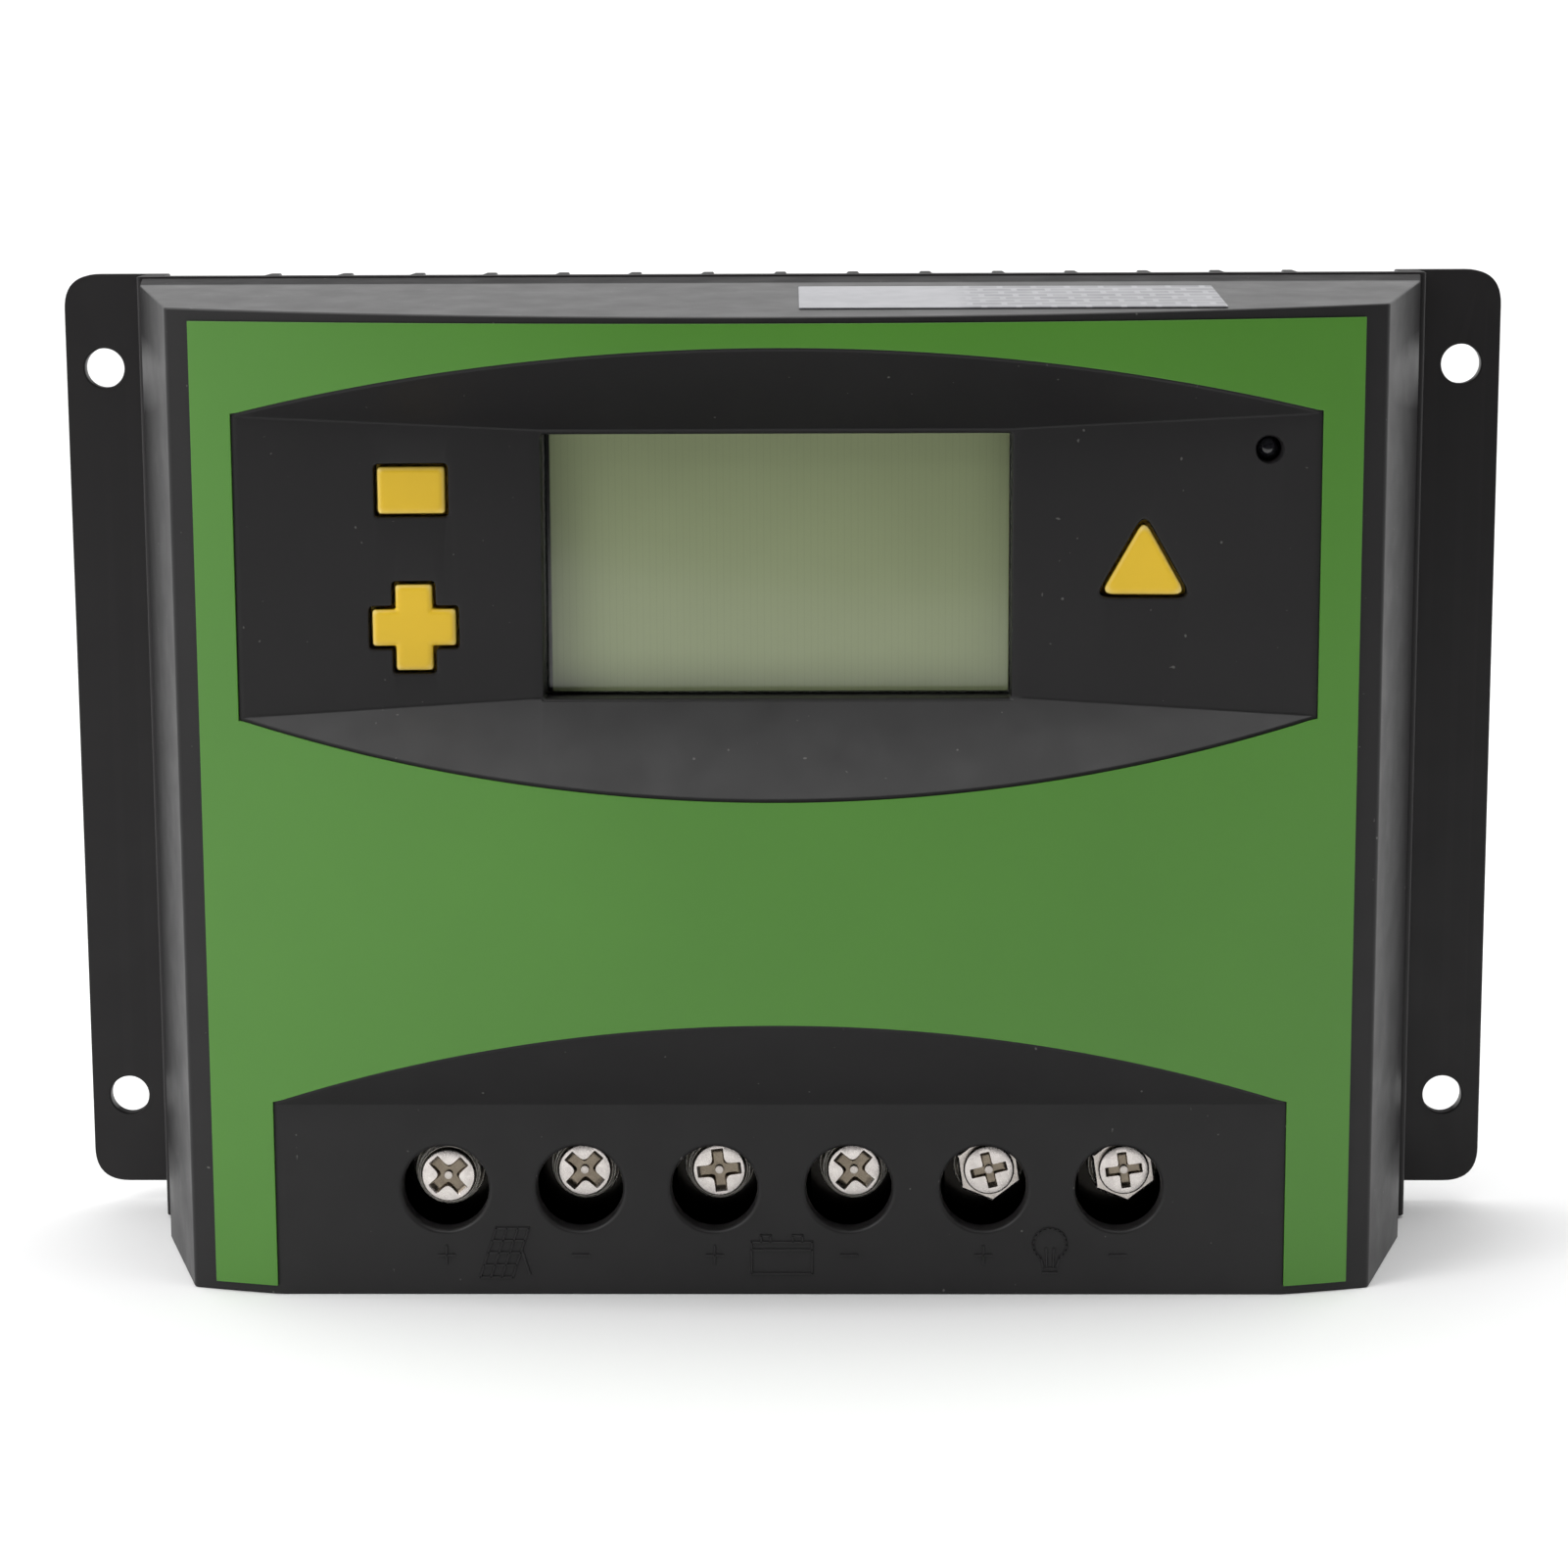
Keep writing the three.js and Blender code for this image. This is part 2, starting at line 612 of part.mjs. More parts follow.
// ---------------------------------------------------------------- terminals
function terminalSet(x, index) {
  const label = index + 1;
  const block = box(x - 5.6, x + 5.6, BLOCK_FRONT, BLOCK_BACK, SCREW_Z - 6.5, SCREW_Z + 6.5);
  const riserFoot = MAIN_BOARD.front - GAP;
  const riser = box(x - 4, x + 4, BLOCK_BACK - 1, riserFoot, SCREW_Z + 3.3, SCREW_Z + 6.5);
  const thread = rod(x, SCREW_Z, -FAR, BLOCK_BACK + 2, SCREW_RADIUS + 0.2);
  part(`terminal_block_${label}`, block.add(riser).subtract(thread), 0xc9b98f, 0.35, 0.9);

  const out = UNSCREWED[index];
  const flatFront = BLOCK_FRONT - GAP - WASHER_THICKNESS - out;
  const springFront = flatFront - WASHER_THICKNESS;
  const bore = SCREW_RADIUS + 0.2;
  const washers = [
    [bore, springFront],
    [SPRING_WASHER_RADIUS, springFront],
    [SPRING_WASHER_RADIUS, flatFront],
    [WASHER_RADIUS, flatFront],
    [WASHER_RADIUS, flatFront + WASHER_THICKNESS],
    [bore, flatFront + WASHER_THICKNESS],
    [bore, springFront],
  ];
  part(`clamp_washers_${label}`, turned(washers, x, SCREW_Z), 0xb9b4ab, 0.3, 0.9);

  const seat = springFront - GAP;
  const top = seat - HEAD_HEIGHT;
  const isHex = index >= TERMINAL_COUNT - 2;
  const profile = [
    [0, top],
    [HEAD_RADIUS - 0.6, top + 0.05],
    [HEAD_RADIUS, top + 0.5],
    [HEAD_RADIUS, seat],
    [SCREW_RADIUS, seat],
    [SCREW_RADIUS, SCREW_TIP - 1 - out],
    [SCREW_RADIUS - 0.8, SCREW_TIP - out],
    [0, SCREW_TIP - out],
  ];
  const shapes = [turned(profile, x, SCREW_Z)];
  if (isHex) {
    const corner = HEX_ACROSS_FLATS / Math.sqrt(3);
    shapes.push(rod(x, SCREW_Z, seat - HEX_HEIGHT, seat, corner, 6));
  }
  const arm = isHex ? 1.9 : 2.2;
  const slot = isHex ? 0.5 : 0.7;
  const recess = [
    box(x - arm, x + arm, top - 1, top + 1.2, SCREW_Z - slot, SCREW_Z + slot),
    box(x - slot, x + slot, top - 1, top + 1.2, SCREW_Z - arm, SCREW_Z + arm),
  ];
  part(`terminal_screw_${label}`, cut(union(shapes), recess), 0xc8c3ba, 0.25, 0.95);
}

// ---------------------------------------------------------------- power stage
function powerStage() {
  const half = 56;
  const pad = box(-half, half, PAD_FRONT, WEB_FRONT - GAP, 37, 56);
  const padHoles = CLAMP_SCREWS.map(({ x, z }) => rod(x, z, -12, -5, 1.9, 12));
  part("thermal_pad", cut(pad, padHoles), 0x9aa0a6, 0.8);

  const tabBack = PAD_FRONT - GAP;
  const bodyFront = tabBack - 4.4;
  for (let i = 0; i < MOSFET_COUNT; i++) {
    const x = (i - (MOSFET_COUNT - 1) / 2) * MOSFET_PITCH;
    const body = box(x - 5, x + 5, bodyFront, tabBack, 40, 49);
    const tab = box(x - 5, x + 5, tabBack - 1.3, tabBack, 48, 55);
    const leads = [-1, 0, 1].map((k) => {
      const lead = x + 2.54 * k;
      return box(lead - 0.4, lead + 0.4, tabBack - 2.7, tabBack - 2.1, 29, 41);
    });
    part(`mosfet_${i + 1}`, union([body, tab, ...leads]), 0x1b1b1d, 0.5);
  }
  const barBack = bodyFront - GAP;
  const bar = box(-54, 54, BAR_FRONT, barBack, 42, 50);
  const barHoles = CLAMP_SCREWS.map(({ x, z }) => rod(x, z, -25, -5, 1.7, 12));
  part("mosfet_clamp_bar", cut(bar, barHoles), 0xaeb2b6, 0.4, 0.9);
  CLAMP_SCREWS.forEach(({ x, z }, i) => {
    const seat = BAR_FRONT - GAP;
    const profile = [
      [0, seat - 2],
      [1.8, seat - 2],
      [2.8, seat - 1.2],
      [2.8, seat],
      [1.4, seat],
      [1.4, WEB_BACK - 0.6],
      [0, WEB_BACK - 0.6],
    ];
    part(`clamp_bar_screw_${i + 1}`, turned(profile, x, z, 12), 0xa8a6a2, 0.35, 0.9);
  });
}

frontCover();
labels();
heatSink();
boards();
display();
controls();
screwXs.forEach(terminalSet);
powerStage();
fasteners();

export default controller;
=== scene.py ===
import json
import math

import bmesh
import bpy
from mathutils import Matrix, Vector


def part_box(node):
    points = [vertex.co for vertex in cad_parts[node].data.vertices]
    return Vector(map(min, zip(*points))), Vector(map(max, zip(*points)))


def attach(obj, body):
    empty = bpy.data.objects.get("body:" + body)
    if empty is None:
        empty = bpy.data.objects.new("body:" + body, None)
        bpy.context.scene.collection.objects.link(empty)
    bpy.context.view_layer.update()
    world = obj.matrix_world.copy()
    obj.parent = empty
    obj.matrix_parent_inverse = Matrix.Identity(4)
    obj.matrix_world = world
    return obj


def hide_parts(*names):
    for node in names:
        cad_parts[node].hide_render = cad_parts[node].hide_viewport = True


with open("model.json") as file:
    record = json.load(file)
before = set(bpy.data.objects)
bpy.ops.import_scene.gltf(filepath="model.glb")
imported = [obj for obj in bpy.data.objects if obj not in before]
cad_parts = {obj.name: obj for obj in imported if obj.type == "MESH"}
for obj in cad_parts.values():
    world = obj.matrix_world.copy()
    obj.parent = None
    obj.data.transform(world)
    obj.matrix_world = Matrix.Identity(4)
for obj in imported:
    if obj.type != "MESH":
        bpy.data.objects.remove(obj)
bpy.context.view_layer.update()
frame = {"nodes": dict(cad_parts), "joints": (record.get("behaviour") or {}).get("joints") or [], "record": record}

MM = 0.001  # shapes are worked out in millimetres and written to the meshes in metres
HOUSING = "housing"


# -------- places read from the frame
def box_mm(node):
    """The lowest and highest corners of a CAD node, in millimetres."""
    low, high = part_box(node)
    return low / MM, high / MM


JOINTS = {j["name"]: j for j in frame["joints"]}
COVER_LOW, COVER_HIGH = box_mm("front_cover")
SINK_LOW, SINK_HIGH = box_mm("heat_sink")
GLASS_LOW, GLASS_HIGH = box_mm("lcd_glass")
LABEL_LOW, LABEL_HIGH = box_mm("front_label")
STICKER_LOW, STICKER_HIGH = box_mm("rating_label")
LAMP_LOW, LAMP_HIGH = box_mm("status_lamp")
SCREW_X = [JOINTS[f"screw_{i}_turn"]["pos_m"][0] / MM for i in range(1, 7)]
SCREW_Z = JOINTS["screw_1_turn"]["pos_m"][2] / MM
FLAT_RADIUS = 4.45
SPRING_RADIUS = 3.85
CAPTIVE_RADII = (3.75, 4.05)
WASHER_EASE = 0.16

# Cover form, the driving dimensions of the CAD part.
RIM_FRONT = -18
RIM_HALF_WIDTH = 81.1
FACE_HALF_WIDTH = 74.4
RIM_TOP = 60.9
TOP_DRAFT = 0.076
FACE_RADIUS = 270
FACE_CENTRE = COVER_LOW.y + FACE_RADIUS
SHOULDER = 0.45
EDGE_RADIUS = 0.28
WALL = 2.4

RECESS_HALF_WIDTH = 66
RECESS_TOP = 46.2
RECESS_BOTTOM = 9.1
RECESS_CREST_TOP = 54.5
RECESS_CREST_BOTTOM = 0.2
RECESS_FLOOR = -39.9
WINDOW_HALF_WIDTH = 28.8
WINDOW_TOP = 43.7
WINDOW_BOTTOM = 11.1

BAY_HALF_WIDTH = 63
BAY_FLOOR = -42.5
BAY_TOP = -39.9
BAY_CREST = -28.2
CREASE = 0.55

WELL_PITCH = 16.9
WELL_CENTRE = 0.3
WELL_X = [WELL_CENTRE + (i - 2.5) * WELL_PITCH for i in range(6)]
WELL_Z = -50.8
WELL_RADIUS = 5.4
WELL_LIP = 0.65

LEG_OUTER = 83.2
LEG_INNER = 80.2
WEB_BACK = -6
FIN_BACK = -0.6
FIN_PITCH = 9.45
FIN_HALF = 0.9
FLANGE_ROOT = 82
FLANGE_TOP = 61.5
FLANGE_BOTTOM = -61.3
FLANGE_THICKNESS = 2
HOLE_X = 89
HOLE_Z = 49.25

CASE_POSTS = [(70.9 * sx, 54 * sz) for sx in (-1, 1) for sz in (-1, 1)]
MAIN_POSTS = [(69 * sx, z) for sx in (-1, 1) for z in (-36, 28)]
CONTROL_POSTS = [(x * sx, z) for sx in (-1, 1) for x, z in ((57, 13), (36.2, 42))]
BAR_SCREWS = ((-30, 46), (30, 46))
MAIN_BOARD_FRONT = box_mm("main_board")[0].y
CONTROL_BOARD_FRONT = box_mm("control_board")[0].y


# -------- mesh helpers
def placed(name, data):
    """A new object of the scene from its mesh, camera or lamp data."""
    obj = bpy.data.objects.new(name, data)
    bpy.context.scene.collection.objects.link(obj)
    return obj


def mesh_object(name, vertices, faces):
    """An object from millimetre vertices, with doubled points merged and normals facing out."""
    mesh = bpy.data.meshes.new(name)
    mesh.from_pydata([Vector(v) * MM for v in vertices], [], faces)
    bm = bmesh.new()
    bm.from_mesh(mesh)
    bmesh.ops.remove_doubles(bm, verts=bm.verts, dist=2e-6)
    bmesh.ops.dissolve_degenerate(bm, edges=bm.edges, dist=1e-6)
    bmesh.ops.recalc_face_normals(bm, faces=bm.faces)
    bm.to_mesh(mesh)
    bm.free()
    return placed(name, mesh)


def apply_modifiers(obj):
    bpy.context.view_layer.update()
    graph = bpy.context.evaluated_depsgraph_get()
    mesh = bpy.data.meshes.new_from_object(obj.evaluated_get(graph))
    obj.modifiers.clear()
    obj.data = mesh
    return obj


def joined(name, objects):
    """One object holding the meshes of several, as separate closed shells."""
    bm = bmesh.new()
    for obj in objects:
        bm.from_mesh(obj.data)
        bpy.data.objects.remove(obj)
    mesh = bpy.data.meshes.new(name)
    bm.to_mesh(mesh)
    bm.free()
    return placed(name, mesh)


def combine(obj, tool, operation):
    """Cuts the tool from obj, or joins it to it, and removes the tool."""
    step = obj.modifiers.new("boolean", "BOOLEAN")
    step.operation = operation
    step.solver = "EXACT"
    step.object = tool
    apply_modifiers(obj)
    bpy.data.objects.remove(tool)
    return obj


def bevel(obj, width, segments=2, angle=30):
    step = obj.modifiers.new("bevel", "BEVEL")
    step.width = width * MM
    step.segments = segments
    step.limit_method = "ANGLE"
    step.angle_limit = math.radians(angle)
    return apply_modifiers(obj)


def smooth(obj, angle=32):
    """Smooth shading inside the given angle, with flat areas kept flat by face weights."""
    bm = bmesh.new()
    bm.from_mesh(obj.data)
    limit = math.radians(angle)
    for edge in bm.edges:
        edge.smooth = len(edge.link_faces) == 2 and edge.calc_face_angle(math.pi) < limit
    for face in bm.faces:
        face.smooth = True
    bm.to_mesh(obj.data)
    bm.free()
    step = obj.modifiers.new("weighted", "WEIGHTED_NORMAL")
    step.keep_sharp = True
    return apply_modifiers(obj)


def piece(obj, material, body=HOUSING, nodes=()):
    """Gives a finished object its material, in a single slot, and its body, and hides the CAD nodes that it stands
    for.
    """
    obj.data.materials.clear()
    obj.data.materials.append(material)
    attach(obj, body)
    if nodes:
        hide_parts(*nodes)
    return obj


def loft(name, rings):
    """A closed solid through rings of equally many points, with a flat cap at each end."""
    count = len(rings[0])
    vertices = [p for ring in rings for p in ring]
    faces = []
    for r in range(len(rings) - 1):
        a, b = r * count, (r + 1) * count
        for i in range(count):
            k = (i + 1) % count
            faces.append((a + i, a + k, b + k, b + i))
    faces.append(tuple(range(count))[::-1])
    faces.append(tuple(range(len(vertices) - count, len(vertices))))
    return mesh_object(name, vertices, faces)


def grid_faces(columns, keep=lambda c, r: True):
    """The faces between neighbouring columns of points, where keep wants them."""
    rows = len(columns[0])
    cells = [(c, r) for c in range(len(columns) - 1) for r in range(rows - 1) if keep(c, r)]
    firsts = [c * rows + r for c, r in cells]
    return [(a, a + rows, a + rows + 1, a + 1) for a in firsts]


def turned(name, profile, x, z, steps=48):
    """A turned solid about the line along Y through x, z, from (radius, y) points."""
    rings = []
    for radius, y in profile:
        angles = [2 * math.pi * i / steps for i in range(steps)]
        rings.append([(x + radius * math.cos(a), y, z + radius * math.sin(a)) for a in angles])
    return loft(name, rings)


def swept_ring(name, section, x, z, start=0.0, end=360.0, rise=0.0, steps=72):
    """A ring whose (radius, y) section turns from start to end degrees, rising along Y as it turns."""
    rings = []
    for i in range(steps + 1):
        angle = math.radians(start + (end - start) * i / steps)
        lift = rise * i / steps
        c, s = math.cos(angle), math.sin(angle)
        rings.append([(x + r * c, y + lift, z + r * s) for r, y in section])
    return loft(name, rings)


def block(name, x0, x1, y0, y1, z0, z1):
    return loft(name, [[(x0, y, z0), (x1, y, z0), (x1, y, z1), (x0, y, z1)] for y in (y0, y1)])


def prism(name, outline, levels, lean=0.0, centre=0.0):
    """A solid along Y through outline(grow) at each (y, grow) level; lean tilts its levels across X."""
    rings = []
    for y, grow in levels:
        rings.append([(u, y + lean * (u - centre), v) for u, v in outline(grow)])
    return loft(name, rings)


def curve(a, b, c, steps):
    """Points on the quadratic curve from a to c whose tangents meet at b."""
    a, b, c = Vector(a), Vector(b), Vector(c)
    points = []
    for i in range(steps + 1):
        t = i / steps
        points.append(tuple(a * (1 - t) ** 2 + b * 2 * t * (1 - t) + c * t * t))
    return points


def box_corners(x0, x1, z0, z1):
    return [(x0, z0), (x1, z0), (x1, z1), (x0, z1)]


def cross_corners(u, v, a):
    """The corners of a plus sign about the origin: arms to u and v, half an arm's width a."""
    quarter = [(u, a), (a, a), (a, v)]
    corners = []
    for sx, sz in ((1, 1), (-1, 1), (-1, -1), (1, -1)):
        points = quarter if sx == sz else quarter[::-1]
        corners += [(sx * p, sz * q) for p, q in points]
    return corners


def rounded(corners, radii, steps=5):
    """A closed outline with each corner rounded by about its own radius."""
    points = []
    count = len(corners)
    for i, corner in enumerate(corners):
        here = Vector(corner)
        before = Vector(corners[i - 1]) - here
        after = Vector(corners[(i + 1) % count]) - here
        cut = radii[i] / math.tan(before.angle(after) / 2)
        cut = min(cut, 0.48 * before.length, 0.48 * after.length)
        points += curve(here + before.normalized() * cut, here, here + after.normalized() * cut, steps)
    return points


# -------- cover surfaces
def face_y(x):
    return FACE_CENTRE - math.sqrt(FACE_RADIUS**2 - x * x)


def top_z(y):
    """Height of the top wall at depth y: a short rim, then the drafted part."""
    if y < RIM_FRONT:
        return RIM_TOP + TOP_DRAFT * (y - RIM_FRONT)
    rim_draft = (COVER_HIGH.z - RIM_TOP) / (COVER_HIGH.y - RIM_FRONT)
    return RIM_TOP + rim_draft * (y - RIM_FRONT)


RECESS_EDGE = face_y(RECESS_HALF_WIDTH)
UPPER_SLOPE = (RECESS_CREST_TOP - RECESS_TOP) / (RECESS_EDGE - COVER_LOW.y)
LOWER_SLOPE = (RECESS_BOTTOM - RECESS_CREST_BOTTOM) / (RECESS_EDGE - COVER_LOW.y)
BAY_SLOPE = (BAY_CREST - BAY_TOP) / (BAY_FLOOR - COVER_LOW.y)
WING_LEAN = (RECESS_EDGE - RECESS_FLOOR) / (RECESS_HALF_WIDTH - WINDOW_HALF_WIDTH)


def recess_upper_z(y):
    return RECESS_TOP + UPPER_SLOPE * (RECESS_EDGE - y)


def recess_lower_z(y):
    return RECESS_BOTTOM - LOWER_SLOPE * (RECESS_EDGE - y)


def bay_z(y):
    return BAY_TOP + BAY_SLOPE * (BAY_FLOOR - y)


def wing_y(x):
    return RECESS_FLOOR + WING_LEAN * max(0.0, abs(x) - WINDOW_HALF_WIDTH)


def plan_half(inside, shoulder):
    """The cover's plan from its left back edge round the shoulder to the middle, as (x, y) points.

    inside is how far the form is shrunk, and shoulder the size of the rounded front corner.
    """
    back = COVER_HIGH.y + (1 if inside else 0)
    corner_x = inside - FACE_HALF_WIDTH
    corner = (corner_x, face_y(corner_x) + inside)
    rim = (inside - RIM_HALF_WIDTH, RIM_FRONT)
    side = Vector(corner) - Vector(rim)
    wall_end = Vector(corner) - side.normalized() * shoulder
    points = [(COVER_LOW.x + inside, back), rim]
    points += [tuple(Vector(rim).lerp(wall_end, t)) for t in (0.25, 0.5, 0.75)]
    arc_start = corner_x + max(shoulder, 0.01)
    points += curve(wall_end, corner, (arc_start, face_y(arc_start) + inside), 8)
    keep = [-LABEL_HIGH.x, -RECESS_HALF_WIDTH, -BAY_HALF_WIDTH, -WINDOW_HALF_WIDTH, 0]
    spacing = 1.2
    count = int(-arc_start / spacing)
    steps = [arc_start * (1 - i / count) for i in range(1, count)]
    steps = [x for x in steps if min(abs(x - k) for k in keep) > spacing / 3]
    xs = sorted(set(steps) | {k for k in keep if k > arc_start + 0.1})
    points += [(x, face_y(x) + inside) for x in xs]
    return points


def profile_corners(x, y, inside):
    """Corners of the cover's section at one point of its plan, from bottom to top, as (y, z)."""
    face = y - inside
    on_face = abs(x) < FACE_HALF_WIDTH - inside - 0.01
    in_bay = on_face and abs(x) <= BAY_HALF_WIDTH
    in_recess = on_face and abs(x) <= RECESS_HALF_WIDTH
    floor = BAY_FLOOR if in_bay else face
    wing = wing_y(x) if in_recess else face
    lower = face if in_recess else RECESS_EDGE
    corners = [
        (floor, COVER_LOW.z + inside),
        (floor, BAY_TOP),
        (face, bay_z(face) if in_bay else BAY_TOP),
        (face, recess_lower_z(lower)),
        (wing, recess_lower_z(wing if in_recess else RECESS_EDGE)),
        (wing, recess_upper_z(wing if in_recess else RECESS_EDGE)),
        (face, recess_upper_z(lower)),
        (face, top_z(y) - inside),
    ]
    return [(v + inside, w) for v, w in corners]


def softened(corners, radius, steps=4):
    """The section with its inner corners rounded, always with the same number of points."""
    points = [corners[0]]
    for i in range(1, len(corners) - 1):
        before = Vector(corners[i - 1]) - Vector(corners[i])
        after = Vector(corners[i + 1]) - Vector(corners[i])
        cut = 0.0
        if before.length > 1e-6 and after.length > 1e-6:
            turn = math.pi - before.angle(after)
            cut = min(radius * math.tan(turn / 2), 0.45 * before.length, 0.45 * after.length)
        here = Vector(corners[i])
        points += curve(here + before.normalized() * cut, here, here + after.normalized() * cut, steps)
    points.append(corners[-1])
    return points


def eased(edge, turns=5):
    """How far a rounded edge goes in and along, from just past its start to its end."""
    angles = [0.5 * math.pi * k / turns for k in range(1, turns + 1)]
    return [(edge * (1 - math.cos(a)), edge * (1 - math.sin(a))) for a in angles]


def cover_form(name, inside, shoulder, edge, crease):
    """The cover's closed form: sections all along the plan, joined left to right across the top."""
    plan = plan_half(inside, shoulder)
    columns = []
    for i, (x, y) in enumerate(plan):
        before = plan[max(i - 1, 0)]
        after = plan[min(i + 1, len(plan) - 1)]
        ahead = (Vector(after) - Vector(before)).normalized()
        normal = Vector((ahead.y, -ahead.x))
        if i == 0:
            normal = Vector((-1, 0))
        if x == 0:
            normal = Vector((0, -1))
        section = softened(profile_corners(x, y, inside), crease)
        bottom_normal = Vector((0, -1)) if abs(x) <= BAY_HALF_WIDTH else normal
        base, low = section[0]
        column = []
        for inward, rise in reversed(eased(edge)):
            px, py = x - bottom_normal.x * inward, base - bottom_normal.y * inward
            column.append((px, py, low + rise))
        column.append((x, base, low + edge))
        column += [(x, v, w) for v, w in section[1:-1]]
        column.append((x, section[-1][0], section[-1][1] - edge))
        for inward, rise in eased(edge):
            px, py = x - normal.x * inward, y - normal.y * inward
            column.append((px, py, top_z(py) - inside - rise))
        columns.append(column)
    columns += [[(-px, py, pz) for px, py, pz in column] for column in reversed(columns[:-1])]
    rows = len(columns[0])
    total = len(columns)
    vertices = [p for column in columns for p in column]
    faces = grid_faces(columns)
    bottom = [c * rows for c in range(total)]
    top = [c * rows + rows - 1 for c in range(total)]
    middle = total // 2
    for c in range(middle - 1):
        mirror = total - 1 - c
        faces.append((top[c], top[mirror], top[mirror - 1], top[c + 1]))
    faces.append((top[middle - 1], top[middle + 1], top[middle]))
    first_bay = next(i for i, (x, y) in enumerate(plan) if x >= -BAY_HALF_WIDTH)
    for c in range(first_bay - 1):
        mirror = total - 1 - c
        faces.append((bottom[c], bottom[mirror], bottom[mirror - 1], bottom[c + 1]))
    faces.append(tuple(bottom[first_bay - 1 : total - first_bay + 1]))
    back = list(range(rows)) + list(range((total - 1) * rows, total * rows))[::-1]
    faces.append(tuple(back))
    return mesh_object(name, vertices, faces)


# -------- materials
def shader(name, color, roughness, metallic=0.0, specular=0.5, coat=0.0):
    """A Principled material, with its shader node and its object coordinates."""
    material = bpy.data.materials.new(name)
    material.use_nodes = True
    bsdf = principled(material)
    bsdf.inputs["Base Color"].default_value = (*color, 1)
    bsdf.inputs["Roughness"].default_value = roughness
    bsdf.inputs["Metallic"].default_value = metallic
    bsdf.inputs["Specular IOR Level"].default_value = specular
    bsdf.inputs["Coat Weight"].default_value = coat
    bsdf.inputs["Coat Roughness"].default_value = 0.08
    coordinates = material.node_tree.nodes.new("ShaderNodeTexCoord")
    return material, bsdf, coordinates.outputs["Object"]


def principled(material):
    return next(n for n in material.node_tree.nodes if n.type == "BSDF_PRINCIPLED")


def feed(bsdf, name, socket):
    bsdf.id_data.links.new(socket, bsdf.inputs[name])


def wired(kind, output, values, **settings):
    """One output of a new node whose inputs take sockets, colours or numbers."""
    sockets = {key: value for key, value in values.items() if isinstance(value, bpy.types.NodeSocket)}
    tree = next(iter(sockets.values())).id_data
    node = tree.nodes.new("ShaderNode" + kind)
    for name, value in settings.items():
        setattr(node, name, value)
    for key, value in values.items():
        socket = node.inputs[key]
        if key in sockets:
            tree.links.new(value, socket)
        else:
            socket.default_value = (*value, 1) if socket.type == "RGBA" else value
    return node.outputs[output]


def noise(vector, size, detail=3.0, rough=0.55):
    """Noise whose features are about size metres across."""
    inputs = {"Vector": vector, "Scale": 1 / size, "Detail": detail, "Roughness": rough}
    return wired("TexNoise", "Fac", inputs)


def mapped(value, low, high, from_low=0.3, from_high=0.7):
    inputs = {"From Min": from_low, "From Max": from_high, "To Min": low, "To Max": high}
    return wired("MapRange", "Result", inputs | {"Value": value})


def blended(factor, first, second, mode="MIX"):
    """A colour mix of two sockets or colours."""
    inputs = {0: factor, 6: first, 7: second}
    return wired("Mix", 2, inputs, data_type="RGBA", blend_type=mode)


def calculated(operation, first, second):
    """A sum done on sockets or numbers."""
    return wired("Math", "Value", {0: first, 1: second}, operation=operation)


def times(first, second):
    return calculated("MULTIPLY", first, second)


def bumped(bsdf, height, depth):
    """A bump of the given depth in metres."""
    feed(bsdf, "Normal", wired("Bump", "Normal", {"Height": height, "Distance": depth}))


def along(vector, axis, low, high):
    """0 to 1 between two places, in millimetres, along one axis of the object."""
    place = wired("SeparateXYZ", axis, {"Vector": vector})
    return mapped(place, 0, 1, low * MM, high * MM)


def geometry(bsdf, name):
    return bsdf.id_data.nodes.new("ShaderNodeNewGeometry").outputs[name]


def edges(bsdf):
    """1 on convex edges, where the lighter edge colour goes (a painted highlight with some wear), 0 elsewhere."""
    return mapped(geometry(bsdf, "Pointiness"), 0, 1, 0.52, 0.6)


def facing(bsdf, axis):
    """The part of the surface's normal along one axis."""
    return wired("SeparateXYZ", axis, {"Vector": geometry(bsdf, "Normal")})


def bricks(vector, offset, colors, sizes):
    """A brick pattern from the colours of its two kinds of cell and of its mortar."""
    inputs = dict(zip(("Color1", "Color2", "Mortar"), colors))
    return wired("TexBrick", "Color", inputs | sizes | {"Vector": vector}, offset=offset)


def scaled(vector, factors, shift=(0, 0, 0)):
    return wired("Mapping", "Vector", {"Vector": vector, "Scale": factors, "Location": shift})


def shade(color, factor):
    return tuple(c * factor for c in color)


def textured_plastic(name, color, roughness, grain, depth, dust=0.0, edge_highlight=None):
    """Moulded plastic with a spark-eroded skin, slight cloudiness, lighter edges and a few specks.

    The lighter convex edges are a painted highlight with some wear; the last argument, when given, is their
    colour, and dust the strength of its specks.
    """
    material, bsdf, where = shader(name, color, roughness)
    cloud = noise(where, 0.03)
    tone = blended(mapped(cloud, 0, 1), shade(color, 0.9), shade(color, 1.1))
    # Painted highlight, with some wear: convex edges are mixed towards a lighter colour.
    wear_and_highlight = mapped(edges(bsdf), 0, 0.8 if edge_highlight else 0.35, 0, 1)
    tone = blended(wear_and_highlight, tone, edge_highlight or shade(color, 1.9))
    fine = noise(where, grain, detail=2)
    if dust:
        speck = mapped(noise(where, 0.0007, detail=0), 0, dust, 0.86, 0.9)
        tone = blended(speck, tone, (0.3, 0.29, 0.28))
    feed(bsdf, "Base Color", tone)
    rough = mapped(noise(where, 0.006), roughness - 0.04, roughness + 0.04)
    feed(bsdf, "Roughness", rough)
    bumped(bsdf, fine, depth)
    return material


